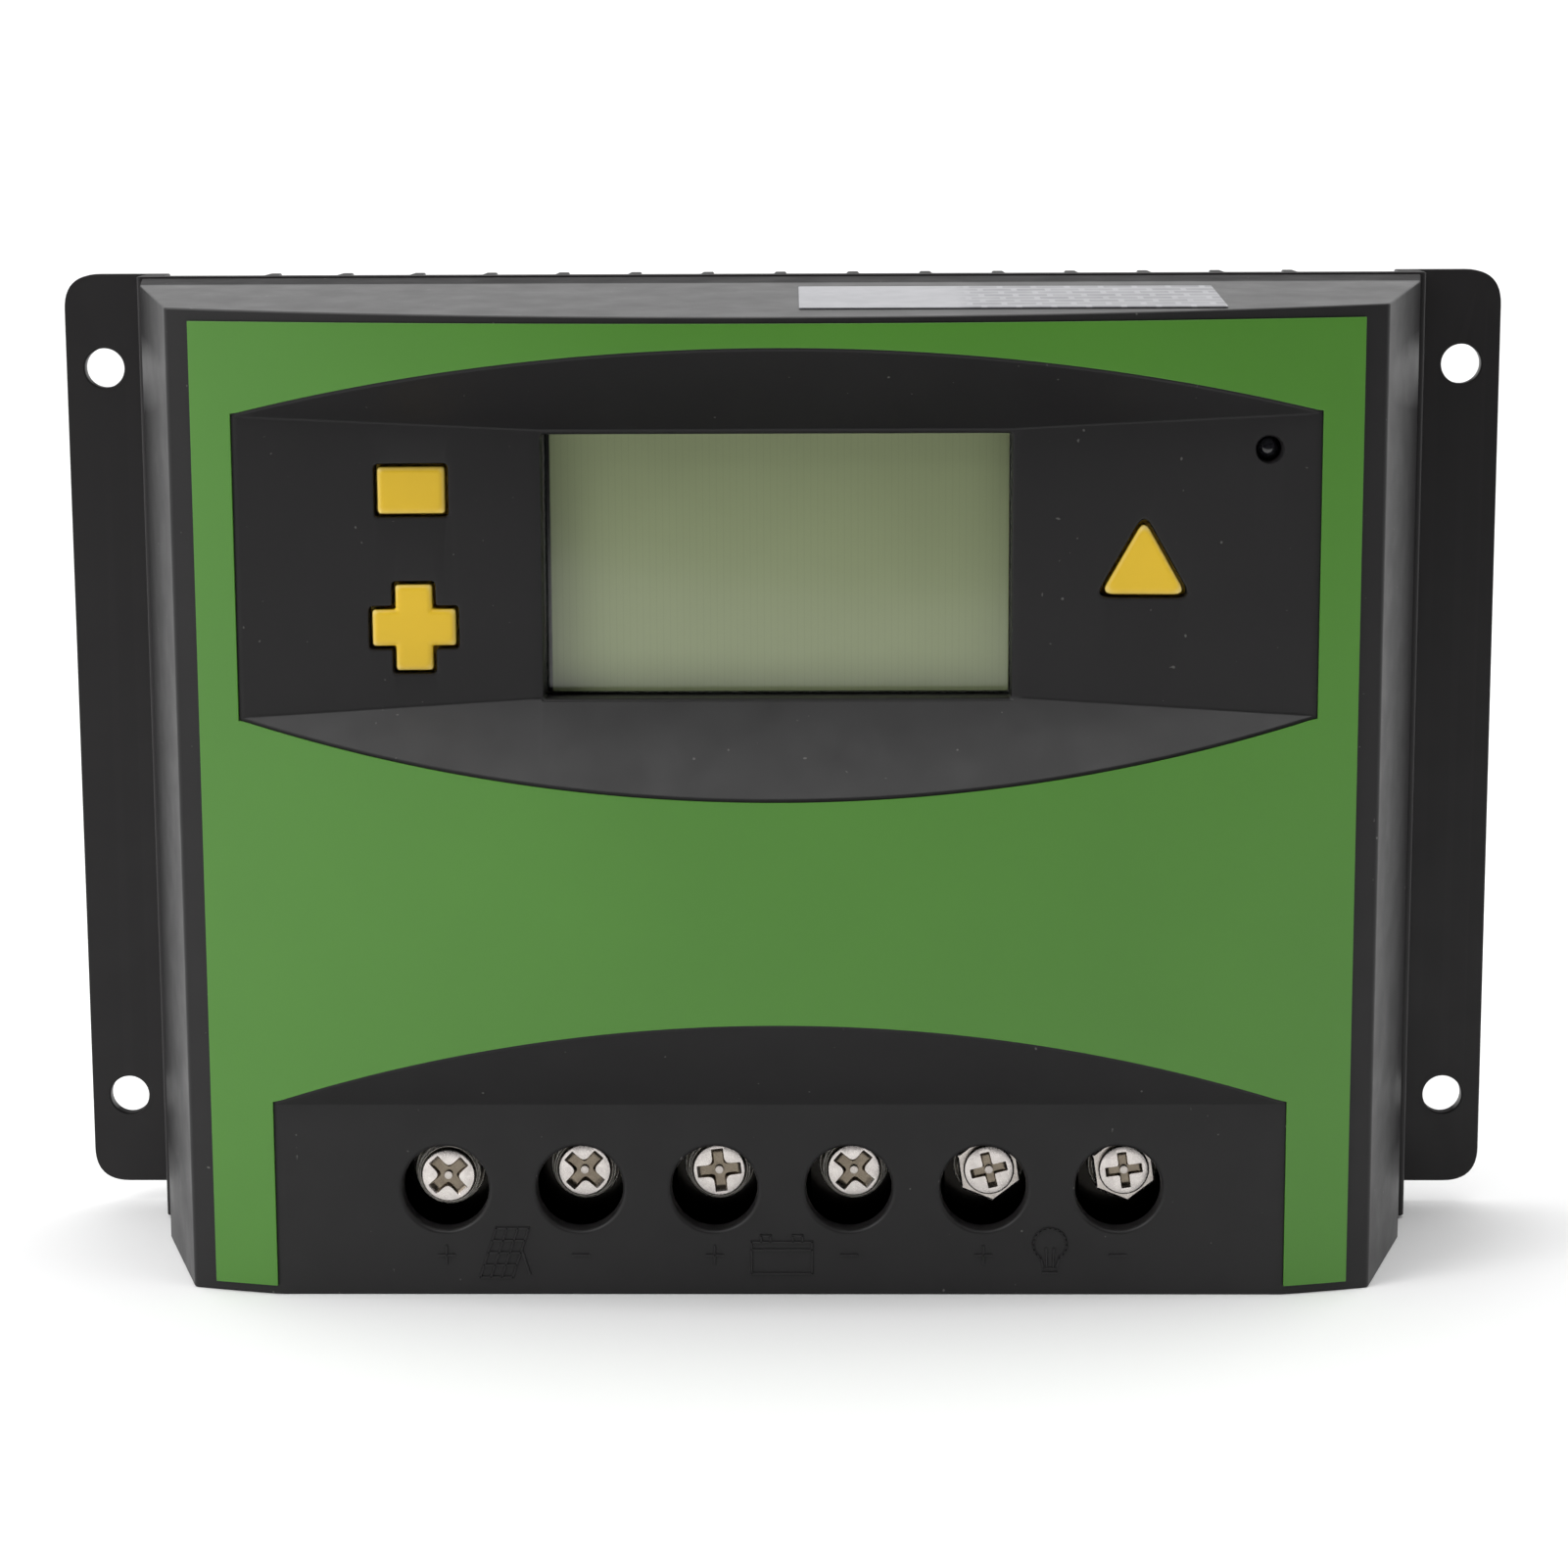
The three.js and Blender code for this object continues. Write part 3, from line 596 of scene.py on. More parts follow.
def cover_plastic():
    """The cover's plastic: dull on the short rim, and on the side walls duller towards the back.

    Faces that look up are a little glossier than those that look down. Beside the upper flange
    holes, and below the flanges, the side walls stay nearly as glossy as at the front.
    """
    gloss_down, gloss_up, rim_gloss, side_gloss = 0.19, 0.48, 0.012, 0.52
    falloff, held = 2.4, 0.6
    hole_low, hole_high, flange_end = (44.5, 48), (55, 51.5), (-50, -58)
    material = textured_plastic("cover_plastic", (0.0112, 0.0105, 0.0111), 0.46, 0.00035, 8e-6, 0.3)
    bsdf = principled(material)
    where = next(n for n in bsdf.id_data.nodes if n.type == "TEX_COORD").outputs["Object"]
    side = mapped(calculated("ABSOLUTE", facing(bsdf, "X"), 0.0), 0, 1, 0.6, 0.85)
    before_rim = along(where, "Y", RIM_FRONT + 0.6, RIM_FRONT - 1.2)
    upward = mapped(facing(bsdf, "Z"), gloss_down, gloss_up, -0.7, 0.7)
    level = calculated("MAXIMUM", times(before_rim, upward), rim_gloss)
    back = along(where, "Y", COVER_LOW.y + 3, COVER_HIGH.y + 2)
    forward = calculated("POWER", calculated("SUBTRACT", 1.0, back), falloff)
    patch = calculated("MAXIMUM", along(where, "Z", *hole_low), along(where, "Z", *flange_end))
    patch = times(patch, along(where, "Z", *hole_high))
    forward = calculated("MAXIMUM", forward, times(patch, held))
    fade = times(forward, side_gloss)
    kept = times(level, calculated("SUBTRACT", 1.0, side))
    total = calculated("ADD", kept, times(fade, side))
    feed(bsdf, "Specular IOR Level", total)
    return material


def sink_finish():
    """Black anodising, dull on the sawn ends of the extrusion."""
    material = textured_plastic("sink_aluminium", (0.0112, 0.0102, 0.0106), 0.42, 0.00025, 4e-6)
    bsdf = principled(material)
    ends = calculated("ABSOLUTE", facing(bsdf, "Z"), 0.0)
    side_gloss, end_gloss = 0.28, 0.01
    gloss = mapped(ends, side_gloss, end_gloss, 0.4, 0.8)
    feed(bsdf, "Specular IOR Level", gloss)
    return material


def metal(name, color, roughness, grain=0.0004, depth=1.5e-6, stretch=(1, 1, 1), tint=None):
    """Bare or plated metal with fine marks; stretch draws them out, tint is a second tone."""
    material, bsdf, where = shader(name, color, roughness, metallic=1.0)
    cloud = mapped(noise(where, 0.0018), 0, 1)
    tone = blended(cloud, shade(color, 0.92), tint or shade(color, 1.06))
    feed(bsdf, "Base Color", tone)
    marks = noise(scaled(where, stretch), grain, detail=2)
    feed(bsdf, "Roughness", mapped(marks, roughness * 0.85, roughness * 1.15))
    bumped(bsdf, marks, depth)
    return material


def block_finish():
    """Nickel plating, painted almost black as shade on the faces that look forward into the wells."""
    material = metal("terminal_metal", (0.62, 0.58, 0.53), 0.16, tint=(0.45, 0.41, 0.35))
    bsdf = principled(material)
    # Painted shade: faces looking forward into the dark wells are mixed to near black.
    painted_shading = (0.012, 0.011, 0.01)
    plating = bsdf.inputs["Base Color"].links[0].from_socket
    forward = mapped(facing(bsdf, "Y"), 1, 0, -0.8, -0.4)
    feed(bsdf, "Base Color", blended(forward, plating, painted_shading))
    return material


def screw_material(name, crown):
    """Plated screw: bright on the crown and the hexagon, dark brown in the recess of the crown as painted shade.
    """
    material, bsdf, where = shader(name, (0.74, 0.69, 0.66), 0.3, metallic=1.0)
    before_hexagon = along(where, "Y", crown + 0.95, crown + 0.75)
    # Painted shade: the cross recess is coloured dark brown in place of its shade.
    recess = along(where, "Y", crown + 0.03, crown + 0.28)
    recess = times(recess, before_hexagon)
    cloud = mapped(noise(where, 0.0012), 0, 1)
    bright = blended(cloud, (0.62, 0.57, 0.55), (0.78, 0.73, 0.7))
    brown = blended(cloud, (0.19, 0.157, 0.122), (0.26, 0.218, 0.168))
    feed(bsdf, "Base Color", blended(recess, bright, brown))
    marks = noise(where, 0.0003, detail=2)
    feed(bsdf, "Roughness", mapped(marks, 0.24, 0.36))
    bumped(bsdf, marks, 1e-6)
    return material


def washer_material(name, x, highlit_edges):
    """Washers about the line through x, painted almost black as shade deep in their wells, with a painted
    highlight along each edge.

    The third argument holds the radii of these edges.
    """
    # The dark tones are painted shade; the near-white tone is a painted highlight along each edge radius.
    dark, less_dark, glint_color = (0.014, 0.013, 0.011), (0.06, 0.054, 0.045), (0.98, 0.93, 0.86)
    band, band_fade = 0.07 * MM, 0.12 * MM
    material, bsdf, where = shader(name, (0.1, 0.09, 0.075), 0.25, metallic=1.0)
    cloud = mapped(noise(where, 0.0015), 0, 1)
    dull = blended(cloud, dark, less_dark)
    centred = scaled(where, (1, 0, 1), (-x * MM, 0, -SCREW_Z * MM))
    length = wired("VectorMath", "Value", {0: centred}, operation="LENGTH")
    # Painted highlight: a thin band about each edge radius.
    edge_highlight = 0.0
    for edge in highlit_edges:
        off = calculated("SUBTRACT", length, (edge - WASHER_EASE / 2) * MM)
        near = mapped(calculated("ABSOLUTE", off, 0.0), 1, 0, band, band_fade)
        edge_highlight = calculated("MAXIMUM", near, edge_highlight)
    feed(bsdf, "Base Color", blended(edge_highlight, dull, glint_color))
    marks = noise(where, 0.0003, detail=2)
    dulled = times(edge_highlight, 0.25)
    rough = calculated("ADD", mapped(marks, 0.18, 0.3), dulled)
    feed(bsdf, "Roughness", rough)
    bumped(bsdf, marks, 1e-6)
    return material


def film(name, color, roughness, orange_peel=6e-6):
    """Printed film: even ink, a faint orange peel and tiny changes of gloss."""
    material, bsdf, where = shader(name, color, roughness)
    cloud = mapped(noise(where, 0.05), 0, 1)
    tone = blended(cloud, shade(color, 0.96), shade(color, 1.04))
    grain = mapped(noise(where, 0.0005), 0, 1)
    feed(bsdf, "Base Color", tone)
    uneven = mapped(grain, roughness - 0.03, roughness + 0.03, 0, 1)
    feed(bsdf, "Roughness", uneven)
    bumped(bsdf, noise(where, 0.0012, detail=2), orange_peel)
    return material


def rating_film():
    """Silver sticker with generic faint bars in place of print."""
    color = (0.27, 0.27, 0.288)
    material, bsdf, where = shader("rating_film", color, 0.4)
    cloud = mapped(noise(where, 0.01), 0, 1)
    tone = blended(cloud, shade(color, 0.92), shade(color, 1.08))
    greys = ((0.55, 0.55, 0.56), (0.75, 0.75, 0.76), (1, 1, 1))
    sizes = {"Scale": 1000, "Brick Width": 4.2, "Row Height": 2.6}
    bars = bricks(where, 0.4, greys, sizes | {"Mortar Size": 0.42, "Mortar Smooth": 0.3})
    printed = along(where, "X", 22, 24)
    ink = blended(printed, (1.0, 1.0, 1.0), bars)
    feed(bsdf, "Base Color", blended(1.0, tone, ink, "MULTIPLY"))
    feed(bsdf, "Roughness", mapped(noise(where, 0.003), 0.36, 0.44))
    return material


COVER_BLACK = cover_plastic()
LABEL_GREEN = film("label_film", (0.068, 0.228, 0.021), 0.36)
STICKER_SILVER = rating_film()
SINK_BLACK = sink_finish()
# The button edges get a painted highlight in pale yellow.
BUTTON_YELLOW = textured_plastic(
    "button_rubber", (0.77, 0.5, 0.022), 0.42, 0.0003, 4e-6, edge_highlight=(0.95, 0.85, 0.45)
)
BEZEL_BLACK = textured_plastic("lcd_frame", (0.012, 0.012, 0.012), 0.35, 0.0004, 4e-6)
BLOCK_NICKEL = block_finish()


# -------- buttons: outlines in X, Z
MINUS = (-44.65, 37.0)
PLUS = (-44.6, 20.1)
MENU = (44.9, 28.6)
LAMP = (59.9, 41.8)
BUTTON_PROUD = 0.2
BUTTON_CLEARANCE = 0.4
CORNER_GROWTH = 0.4
BUTTON_TRAVEL_ROOM = 0.75


def minus_outline(grow):
    half_width, half_height = 4.1 + grow, 2.85 + grow
    x, z = MINUS
    corners = box_corners(x - half_width, x + half_width, z - half_height, z + half_height)
    return rounded(corners, [0.5 + CORNER_GROWTH * max(grow, 0)] * 4)


def plus_outline(grow):
    half_width, half_height, half_arm = 5.1 + grow, 5.3 + grow, 2.25 + grow
    x, z = PLUS
    corners = [(x + u, z + v) for u, v in cross_corners(half_width, half_height, half_arm)]
    outer = 0.45 + CORNER_GROWTH * max(grow, 0)
    return rounded(corners, [outer, 0.35, outer] * 4, steps=4)


def menu_outline(grow):
    x, z = MENU
    half_base, half_height = 5.2, 4.6
    half_angle = math.atan2(half_base, 2 * half_height)
    widen = grow * (1 + 1 / math.sin(half_angle)) * math.tan(half_angle)
    low = z - half_height - grow
    high = z + half_height + grow / math.sin(half_angle)
    corners = [(x - half_base - widen, low), (x + half_base + widen, low), (x, high)]
    return rounded(corners, [0.9 + grow / 2] * 3, steps=6)


BUTTONS = [("minus", MINUS, minus_outline), ("plus", PLUS, plus_outline), ("menu", MENU, menu_outline)]


def button_lean(x):
    """How much the recess floor leans at x, as depth over distance to the right."""
    return WING_LEAN if x > 0 else -WING_LEAN


def build_buttons():
    key_crown = ((0, -0.75), (0.03, -0.45), (0.14, -0.2), (0.32, -0.05), (0.6, 0))
    key_flange = ((0, 0), (0, 0.1), (0, 1.0), (0.1, 1.1), (0.9, 1.1), (1.0, 1.0))
    for name, (x, z), outline in BUTTONS:
        back = box_mm(f"button_{name}")[1].y
        front = wing_y(x) - BUTTON_PROUD
        flange = wing_y(x) + WALL + BUTTON_TRAVEL_ROOM
        levels = [(front + depth, grow) for depth, grow in key_crown]
        levels += [(flange + depth, grow) for depth, grow in key_flange]
        key = prism(f"button_{name}_key", outline, levels, button_lean(x), x)
        stem = [(1.0, flange + 0.5), (1.6, flange + 0.6), (1.6, back - 0.2), (1.4, back)]
        combine(key, turned("stem", stem, x, z, 24), "UNION")
        piece(smooth(key, 40), BUTTON_YELLOW, f"{name}_key", [f"button_{name}"])


# -------- front cover
POST_SINK = 0.3  # the boards rest this far behind the ends of their posts
# Places, back end and radius of the posts, then the front end and radius of their pilot holes.
POSTS = (
    (CASE_POSTS, COVER_HIGH.y, 3.6, -24, 1.65),
    (MAIN_POSTS, MAIN_BOARD_FRONT - POST_SINK, 3.2, -25, 1.5),
    (CONTROL_POSTS, CONTROL_BOARD_FRONT - POST_SINK, 2.8, -37.6, 1.15),
)
RIB_HALF = 0.75
RIB_BACK = -20
ENTRY_HALF = 5
ENTRY_FRONT = -39.4
ENTRY_BACK = -30.6
LAMP_HOLE = 1.6
# Depth behind the surface and growth of the outline, down the edges of the button holes and window.
BUTTON_HOLE = ((-3, 0.75), (-0.02, 0.75), (0.1, 0.5), (0.4, BUTTON_CLEARANCE), (4, BUTTON_CLEARANCE))
WINDOW_EDGE = ((-3, 0.35), (-0.1, 0.35), (0.12, 0.1), (0.4, 0), (4, 0))
HOLLOW_SHOULDER = 0.8
HOLLOW_EDGE = 0.4
HOLLOW_CREASE = 0.3


def cover_hollow():
    """The space inside the cover, without its posts and the ribs between the wells."""
    hollow = cover_form("hollow", WALL, HOLLOW_SHOULDER, HOLLOW_EDGE, HOLLOW_CREASE)
    solids = []
    for places, back, radius, _, _ in POSTS:
        for x, z in places:
            solids.append(turned("post", [(radius, COVER_LOW.y), (radius, back)], x, z, 24))
    for i in range(len(WELL_X) + 1):
        x = WELL_X[0] + (i - 0.5) * WELL_PITCH
        depth = (BAY_FLOOR + 1, RIB_BACK)
        solids.append(block("rib", x - RIB_HALF, x + RIB_HALF, *depth, COVER_LOW.z + 1, BAY_FLOOR))
    return combine(hollow, joined("posts", solids), "DIFFERENCE")


def build_cover():
    cover = cover_form("cover_shell", 0, SHOULDER, EDGE_RADIUS, CREASE)
    combine(cover, cover_hollow(), "DIFFERENCE")
    tools = []
    mouth = WELL_RADIUS + WELL_LIP
    well = [(mouth + 0.2, BAY_FLOOR - 0.4)]
    for radius, depth in curve((mouth, 0), (WELL_RADIUS, 0), (WELL_RADIUS, 0.9), 6):
        well.append((radius, BAY_FLOOR + depth))
    well.append((WELL_RADIUS, BAY_FLOOR + WALL + 0.5))
    for x in WELL_X:
        tools.append(turned("well", well, x, WELL_Z, 72))
        height = (COVER_LOW.z - 5, COVER_LOW.z + WALL + 0.1)
        tools.append(block("entry", x - ENTRY_HALF, x + ENTRY_HALF, ENTRY_FRONT, ENTRY_BACK, *height))
    for name, (x, z), outline in BUTTONS:
        levels = [(wing_y(x) + depth, grow) for depth, grow in BUTTON_HOLE]
        tools.append(prism("hole", outline, levels, button_lean(x), x))
    x, z = LAMP
    mouth = wing_y(x)
    lamp_hole = [(LAMP_HOLE + 0.35, mouth - 0.3), (LAMP_HOLE, mouth + 0.3), (LAMP_HOLE, mouth + 5)]
    tools.append(turned("hole", lamp_hole, x, z, 40))

    def window(grow):
        u = WINDOW_HALF_WIDTH + grow
        return rounded(box_corners(-u, u, WINDOW_BOTTOM - grow, WINDOW_TOP + grow), [0.4] * 4, steps=3)

    levels = [(RECESS_FLOOR + depth, grow) for depth, grow in WINDOW_EDGE]
    tools.append(prism("hole", window, levels))
    for places, _, _, front, radius in POSTS:
        for x, z in places:
            tools.append(turned("pilot", [(radius, front), (radius, 1)], x, z, 16))
    combine(cover, joined("tools", tools), "DIFFERENCE")
    piece(smooth(cover, 40), COVER_BLACK, HOUSING, ["front_cover"])


# -------- symbols moulded on the bay floor
STROKE = 0.28
STROKE_PROUD = 0.22


def stroke(x0, z0, x1, z1):
    """A thin raised line on the bay floor."""
    start, end = Vector((x0, z0)), Vector((x1, z1))
    ahead = (end - start).normalized() * STROKE / 2
    across = Vector((-ahead.y, ahead.x))
    rings = []
    for lift, shrink in ((-0.3, 1), (STROKE_PROUD * 0.4, 1), (STROKE_PROUD, 0.6)):
        first, last, aside = start - ahead, end + ahead, across * shrink
        corners = (first - aside, last - aside, last + aside, first + aside)
        rings.append([(corner.x, BAY_FLOOR - lift, corner.y) for corner in corners])
    return loft("stroke", rings)


def arc_strokes(x, z, radius, start, end, count):
    angles = [math.radians(start + (end - start) * i / count) for i in range(count + 1)]
    points = [(x + radius * math.cos(a), z + radius * math.sin(a)) for a in angles]
    return [stroke(*points[i], *points[i + 1]) for i in range(count)]


def signs():
    """A plus sign under the wells in turn with a minus sign."""
    z, half_width, half_height = -59.4, 0.95, 1.1
    strokes = []
    for i, x in enumerate(WELL_X):
        strokes.append(stroke(x - half_width, z, x + half_width, z))
        if i % 2 == 0:
            strokes.append(stroke(x, z - half_height, x, z + half_height))
    return strokes


def panel_symbol():
    """A solar panel: a leaning grid with a prop behind it."""
    left, right, top, bottom, lean = -36.7, -32.6, -55.9, -62.3, 2.1
    strokes = []
    for k in range(4):
        x = left + (right - left) * k / 3
        strokes.append(stroke(x - lean / 2, bottom, x + lean / 2, top))
    for k in range(5):
        z = bottom + (top - bottom) * k / 4
        shift = lean * (k / 4 - 0.5)
        strokes.append(stroke(left + shift, z, right + shift, z))
    return strokes + [stroke(right + 0.2, -58.9, right + 1.1, -61.8)]


def battery_symbol():
    """A battery: a box with a line near its top and two terminals on it."""
    left, right, low, high, terminal = -3.5, 4.1, -61.8, -57.7, 0.8
    lines = [(left, low, right, low), (left, high, right, high), (left, low, left, high)]
    lines += [(right, low, right, high), (left, high - 1.0, right, high - 1.0)]
    top = high + terminal
    for x0, x1 in ((-2.3, -1.1), (1.7, 2.9)):
        lines += [(x0, high, x0, top), (x1, high, x1, top), (x0, top, x1, top)]
    return [stroke(*line) for line in lines]


def lamp_symbol():
    """A light bulb: an open circle, its neck, its wires and its cap."""
    x, z = 34.0, -58.0
    strokes = arc_strokes(x, z, 2.1, -55, 235, 16)
    for side in (-1, 1):
        strokes.append(stroke(x + side * 1.2, z - 1.7, x + side * 0.8, z - 3.0))
        strokes.append(stroke(x + side * 0.4, z - 2.8, x + side * 0.5, z - 0.6))
    for drop in (3.1, 3.7):
        strokes.append(stroke(x - 0.8, z - drop, x + 0.8, z - drop))
    return strokes


def build_symbols():
    symbols = joined("bay_symbols", signs() + panel_symbol() + battery_symbol() + lamp_symbol())
    piece(smooth(symbols, 30), COVER_BLACK)


# -------- labels
FILM_PROUD = 0.12
FILM_THICKNESS = 0.25


def sheet(name, columns, thickness, keep):
    """A thin closed sheet facing -Y over a grid of (x, y, z) columns; keep says which cells are film."""
    vertices = [p for column in columns for p in column]
    obj = mesh_object(name, vertices, grid_faces(columns, keep))
    bm = bmesh.new()
    bm.from_mesh(obj.data)
    loose = [v for v in bm.verts if not v.link_faces]
    bmesh.ops.delete(bm, geom=loose, context="VERTS")
    bm.normal_update()
    if sum(face.normal.y for face in bm.faces) > 0:
        bmesh.ops.reverse_faces(bm, faces=bm.faces)
    bm.to_mesh(obj.data)
    bm.free()
    step = obj.modifiers.new("solidify", "SOLIDIFY")
    step.thickness = thickness * MM
    step.offset = 1
    return apply_modifiers(obj)


def build_front_label():
    half = LABEL_HIGH.x
    low, high = LABEL_LOW.z, LABEL_HIGH.z
    margin = 0.3
    lip = CREASE * 0.6
    breaks = [half, RECESS_HALF_WIDTH + margin, BAY_HALF_WIDTH + margin]
    count, clear = 60, 0.4
    steps = [half * (1 - i / count) for i in range(count + 1)]
    near = [x for x in steps if min(abs(x - b) for b in breaks) > clear]
    half_xs = sorted(set(near) | set(breaks))
    xs = [-x for x in reversed(half_xs) if x > 0] + half_xs
    columns = []
    for x in xs:
        y = face_y(x) - FILM_PROUD
        in_bay = abs(x) < BAY_HALF_WIDTH + margin - 0.01
        in_recess = abs(x) < RECESS_HALF_WIDTH + margin - 0.01
        bay = bay_z(face_y(min(abs(x), BAY_HALF_WIDTH))) + lip
        edge = face_y(min(abs(x), RECESS_HALF_WIDTH))
        stops = [low, bay, recess_lower_z(edge) - lip, recess_upper_z(edge) + lip, high]
        column = []
        for start, end in zip(stops, stops[1:]):
            column += [(x, y, start + (end - start) * t) for t in (0, 0.25, 0.5, 0.75)]
        column.append((x, y, high))
        columns.append((column, in_bay, in_recess))

    def keep(c, r):
        zone = r // 4
        both_bay = columns[c][1] or columns[c + 1][1]
        both_recess = columns[c][2] or columns[c + 1][2]
        return not (zone == 0 and both_bay) and not (zone == 2 and both_recess)

    label = sheet("front_label_film", [c[0] for c in columns], FILM_THICKNESS, keep)
    bevel(label, 0.07, 2, 50)
    piece(smooth(label, 50), LABEL_GREEN, HOUSING, ["front_label"])


def build_rating_label():
    front, back = STICKER_LOW.y, STICKER_HIGH.y
    left, right = STICKER_LOW.x, STICKER_HIGH.x
    corners = [(left + 0.3, front), (right, front), (right - 0.3, back - 0.4), (left, back)]
    outline = rounded(corners, [0.3] * 4)
    rings = [[(x, y, top_z(y) + lift) for x, y in outline] for lift in (0.03, 0.22)]
    label = loft("rating_sticker", rings)
    bevel(label, 0.05, 2, 50)
    piece(smooth(label, 50), STICKER_SILVER, HOUSING, ["rating_label"])


# -------- heat sink
def sink_outline(inset):
    """The extrusion's section, shrunk by inset."""
    leg_outer, leg_inner = LEG_OUTER - inset, LEG_INNER + inset
    front, web_back, fin_back = SINK_LOW.y + inset, WEB_BACK - inset, FIN_BACK - inset
    root, tip = FIN_HALF - inset, 0.8 * FIN_HALF - inset
    profile = [(leg_outer, -inset), (leg_outer, front), (-leg_outer, front), (-leg_outer, -inset)]
    profile += [(-leg_inner, -inset), (-leg_inner, web_back)]
    for i in range(-7, 8):
        x = i * FIN_PITCH
        profile += [(x - root, web_back), (x - tip, fin_back), (x + tip, fin_back), (x + root, web_back)]
    profile += [(leg_inner, web_back), (leg_inner, -inset)]
    radii = [0.6] * 4 + [0.4] * 2 + [0.5, 0.35, 0.35, 0.5] * 15 + [0.4] * 2
    return rounded(profile, radii, steps=3)


def through_hole(x, z, radius, front, back):
    """A cutter for a hole along Y with a small chamfer at each end."""
    flare = 0.2
    profile = [(radius + 2 * flare, front - flare), (radius, front + flare)]
    profile += [(radius, back - flare), (radius + 2 * flare, back + flare)]
    return turned("hole", profile, x, z, 56)


def build_heat_sink():
    ease = 0.12
    flange_radius, wall_hole, case_hole, bar_hole = 4.6, 2.6, 1.9, 1.7
    levels = [(SINK_LOW.z, ease), (SINK_LOW.z + ease, 0), (SINK_HIGH.z - ease, 0), (SINK_HIGH.z, ease)]
    sink = loft("back_plate", [[(x, y, z) for x, y in sink_outline(inset)] for z, inset in levels])
    for side in (-1, 1):
        plate = []
        for y, inset in ((-FLANGE_THICKNESS, ease), (ease - FLANGE_THICKNESS, 0), (-ease, 0), (0, ease)):
            low, high, far = FLANGE_BOTTOM + inset, FLANGE_TOP - inset, SINK_HIGH.x - inset
            corners = [(FLANGE_ROOT, low), (far, low), (far, high), (FLANGE_ROOT, high)]
            shape = rounded(corners, [0.05, flange_radius, flange_radius, 0.05], steps=12)
            plate.append([(side * x, y, z) for x, z in shape])
        combine(sink, loft("flange", plate), "UNION")
    tools = []
    for sx in (-1, 1):
        for sz in (-1, 1):
            tools.append(through_hole(HOLE_X * sx, HOLE_Z * sz, wall_hole, -FLANGE_THICKNESS, 0))
    for x, z in CASE_POSTS:
        tools.append(through_hole(x, z, case_hole, SINK_LOW.y, WEB_BACK))
    for x, z in BAR_SCREWS:
        tools.append(through_hole(x, z, bar_hole, SINK_LOW.y, WEB_BACK))
    combine(sink, joined("tools", tools), "DIFFERENCE")
    piece(smooth(sink, 50), SINK_BLACK, HOUSING, ["heat_sink"])


# -------- terminal hardware
# Head radius, then the cross's arm length, arm width and inner corner radius, for each kind of screw.
PAN_HEAD = (3.4, 2.75, 1.4, 0.75)
HEX_HEAD = (3.2, 2.3, 1.1, 0.25)
HEX_FLATS = 7.6
HEX_TURN = 38
FIRST_HEX = 4  # the last two of the six screws have hexagons
CROSS_ANGLES = [42, 48, 6, 50, 14, 8]
# Depth below the crown, with the factors of the arms' length and width, down the cross recess.
CROSS_LEVELS = ((-0.3, 1.05, 1.2), (0.02, 1.02, 1.1), (0.35, 0.9, 0.92), (0.6, 0.72, 0.8))
NUB = ((0.55, 0.9), (0.54, 0.22), (0.5, 0.13), (0.2, 0.1))  # radius and depth below the crown
THREAD_PITCH = 0.7
THREAD_LEAD_IN = 0.9
THREAD_CREST = 1.98
THREAD_ROOT = 1.62
NECK_RADIUS = 1.95
HEAD_STAND_OFF = 0.3
CAPTIVE_BORE = 3.2
FLAT_BORE = 2.2
SPRING_BORE = 2.15
FLAT_THICKNESS = 0.8
RING_GAP = 0.1
SPRING_BACK_EASE = 0.1
SPRING_RISE = 0.08
SPRING_GAP = 0.12
SPRING_ARC = 348  # degrees; the rest of the turn is the split
SPLIT_START = 204
SPLIT_STEP = 37


def cross_outline(x, z, length, width, angle, inner):
    """A cross recess outline: four arms with rounded inner corners, turned by angle degrees."""
    tip = 0.12
    outline = rounded(cross_corners(length, length, width / 2), [tip, inner, tip] * 4, steps=5)
    c, s = math.cos(math.radians(angle)), math.sin(math.radians(angle))
    return [(x + c * u - s * v, z + s * u + c * v) for u, v in outline]


def washer_section(bore, outer, front, back, back_ease=WASHER_EASE):
    """A washer's section as (radius, y) points, with its outer edges eased."""
    section = [(bore, front), (outer - WASHER_EASE, front), (outer, front + WASHER_EASE)]
    return section + [(outer, back - back_ease), (outer - WASHER_EASE, back), (bore, back)]


def screw_form(name, x, high, seat, crown, head):
    """The turned part of a terminal screw, from the end of its thread to its crown."""
    profile = [(0.9, high), (1.2, high - 0.2)]
    y = high - THREAD_LEAD_IN
    while y > seat + HEAD_STAND_OFF:
        profile += [(THREAD_CREST, y), (THREAD_ROOT, y - THREAD_PITCH / 2)]
        y -= THREAD_PITCH
    profile += [(NECK_RADIUS, seat + 0.1), (NECK_RADIUS, seat), (head, seat)]
    for inset, depth in ((0, 0.32), (0.03, 0.18), (0.1, 0.08), (0.22, 0.03)):
        profile.append((head - inset, crown + depth))
    profile += [(head * 0.6, crown + 0.01), (0.3, crown)]
    return turned(name, profile, x, SCREW_Z, 64)


def hexagon(x, seat):
    """The hexagon behind the round head of a screw, eased at both ends."""
    corner = HEX_FLATS / math.sqrt(3)
    turns = [math.radians(HEX_TURN + 60 * k) for k in range(6)]
    outline = rounded([(corner * math.cos(a), corner * math.sin(a)) for a in turns], [0.35] * 6, steps=3)
    rings = []
    for rise, grow in ((0, 0.97), (0.12, 1.0), (1.0, 1.0), (1.2, 0.93)):
        rings.append([(x + u * grow, seat - rise, SCREW_Z + v * grow) for u, v in outline])
    return loft("hexagon", rings)


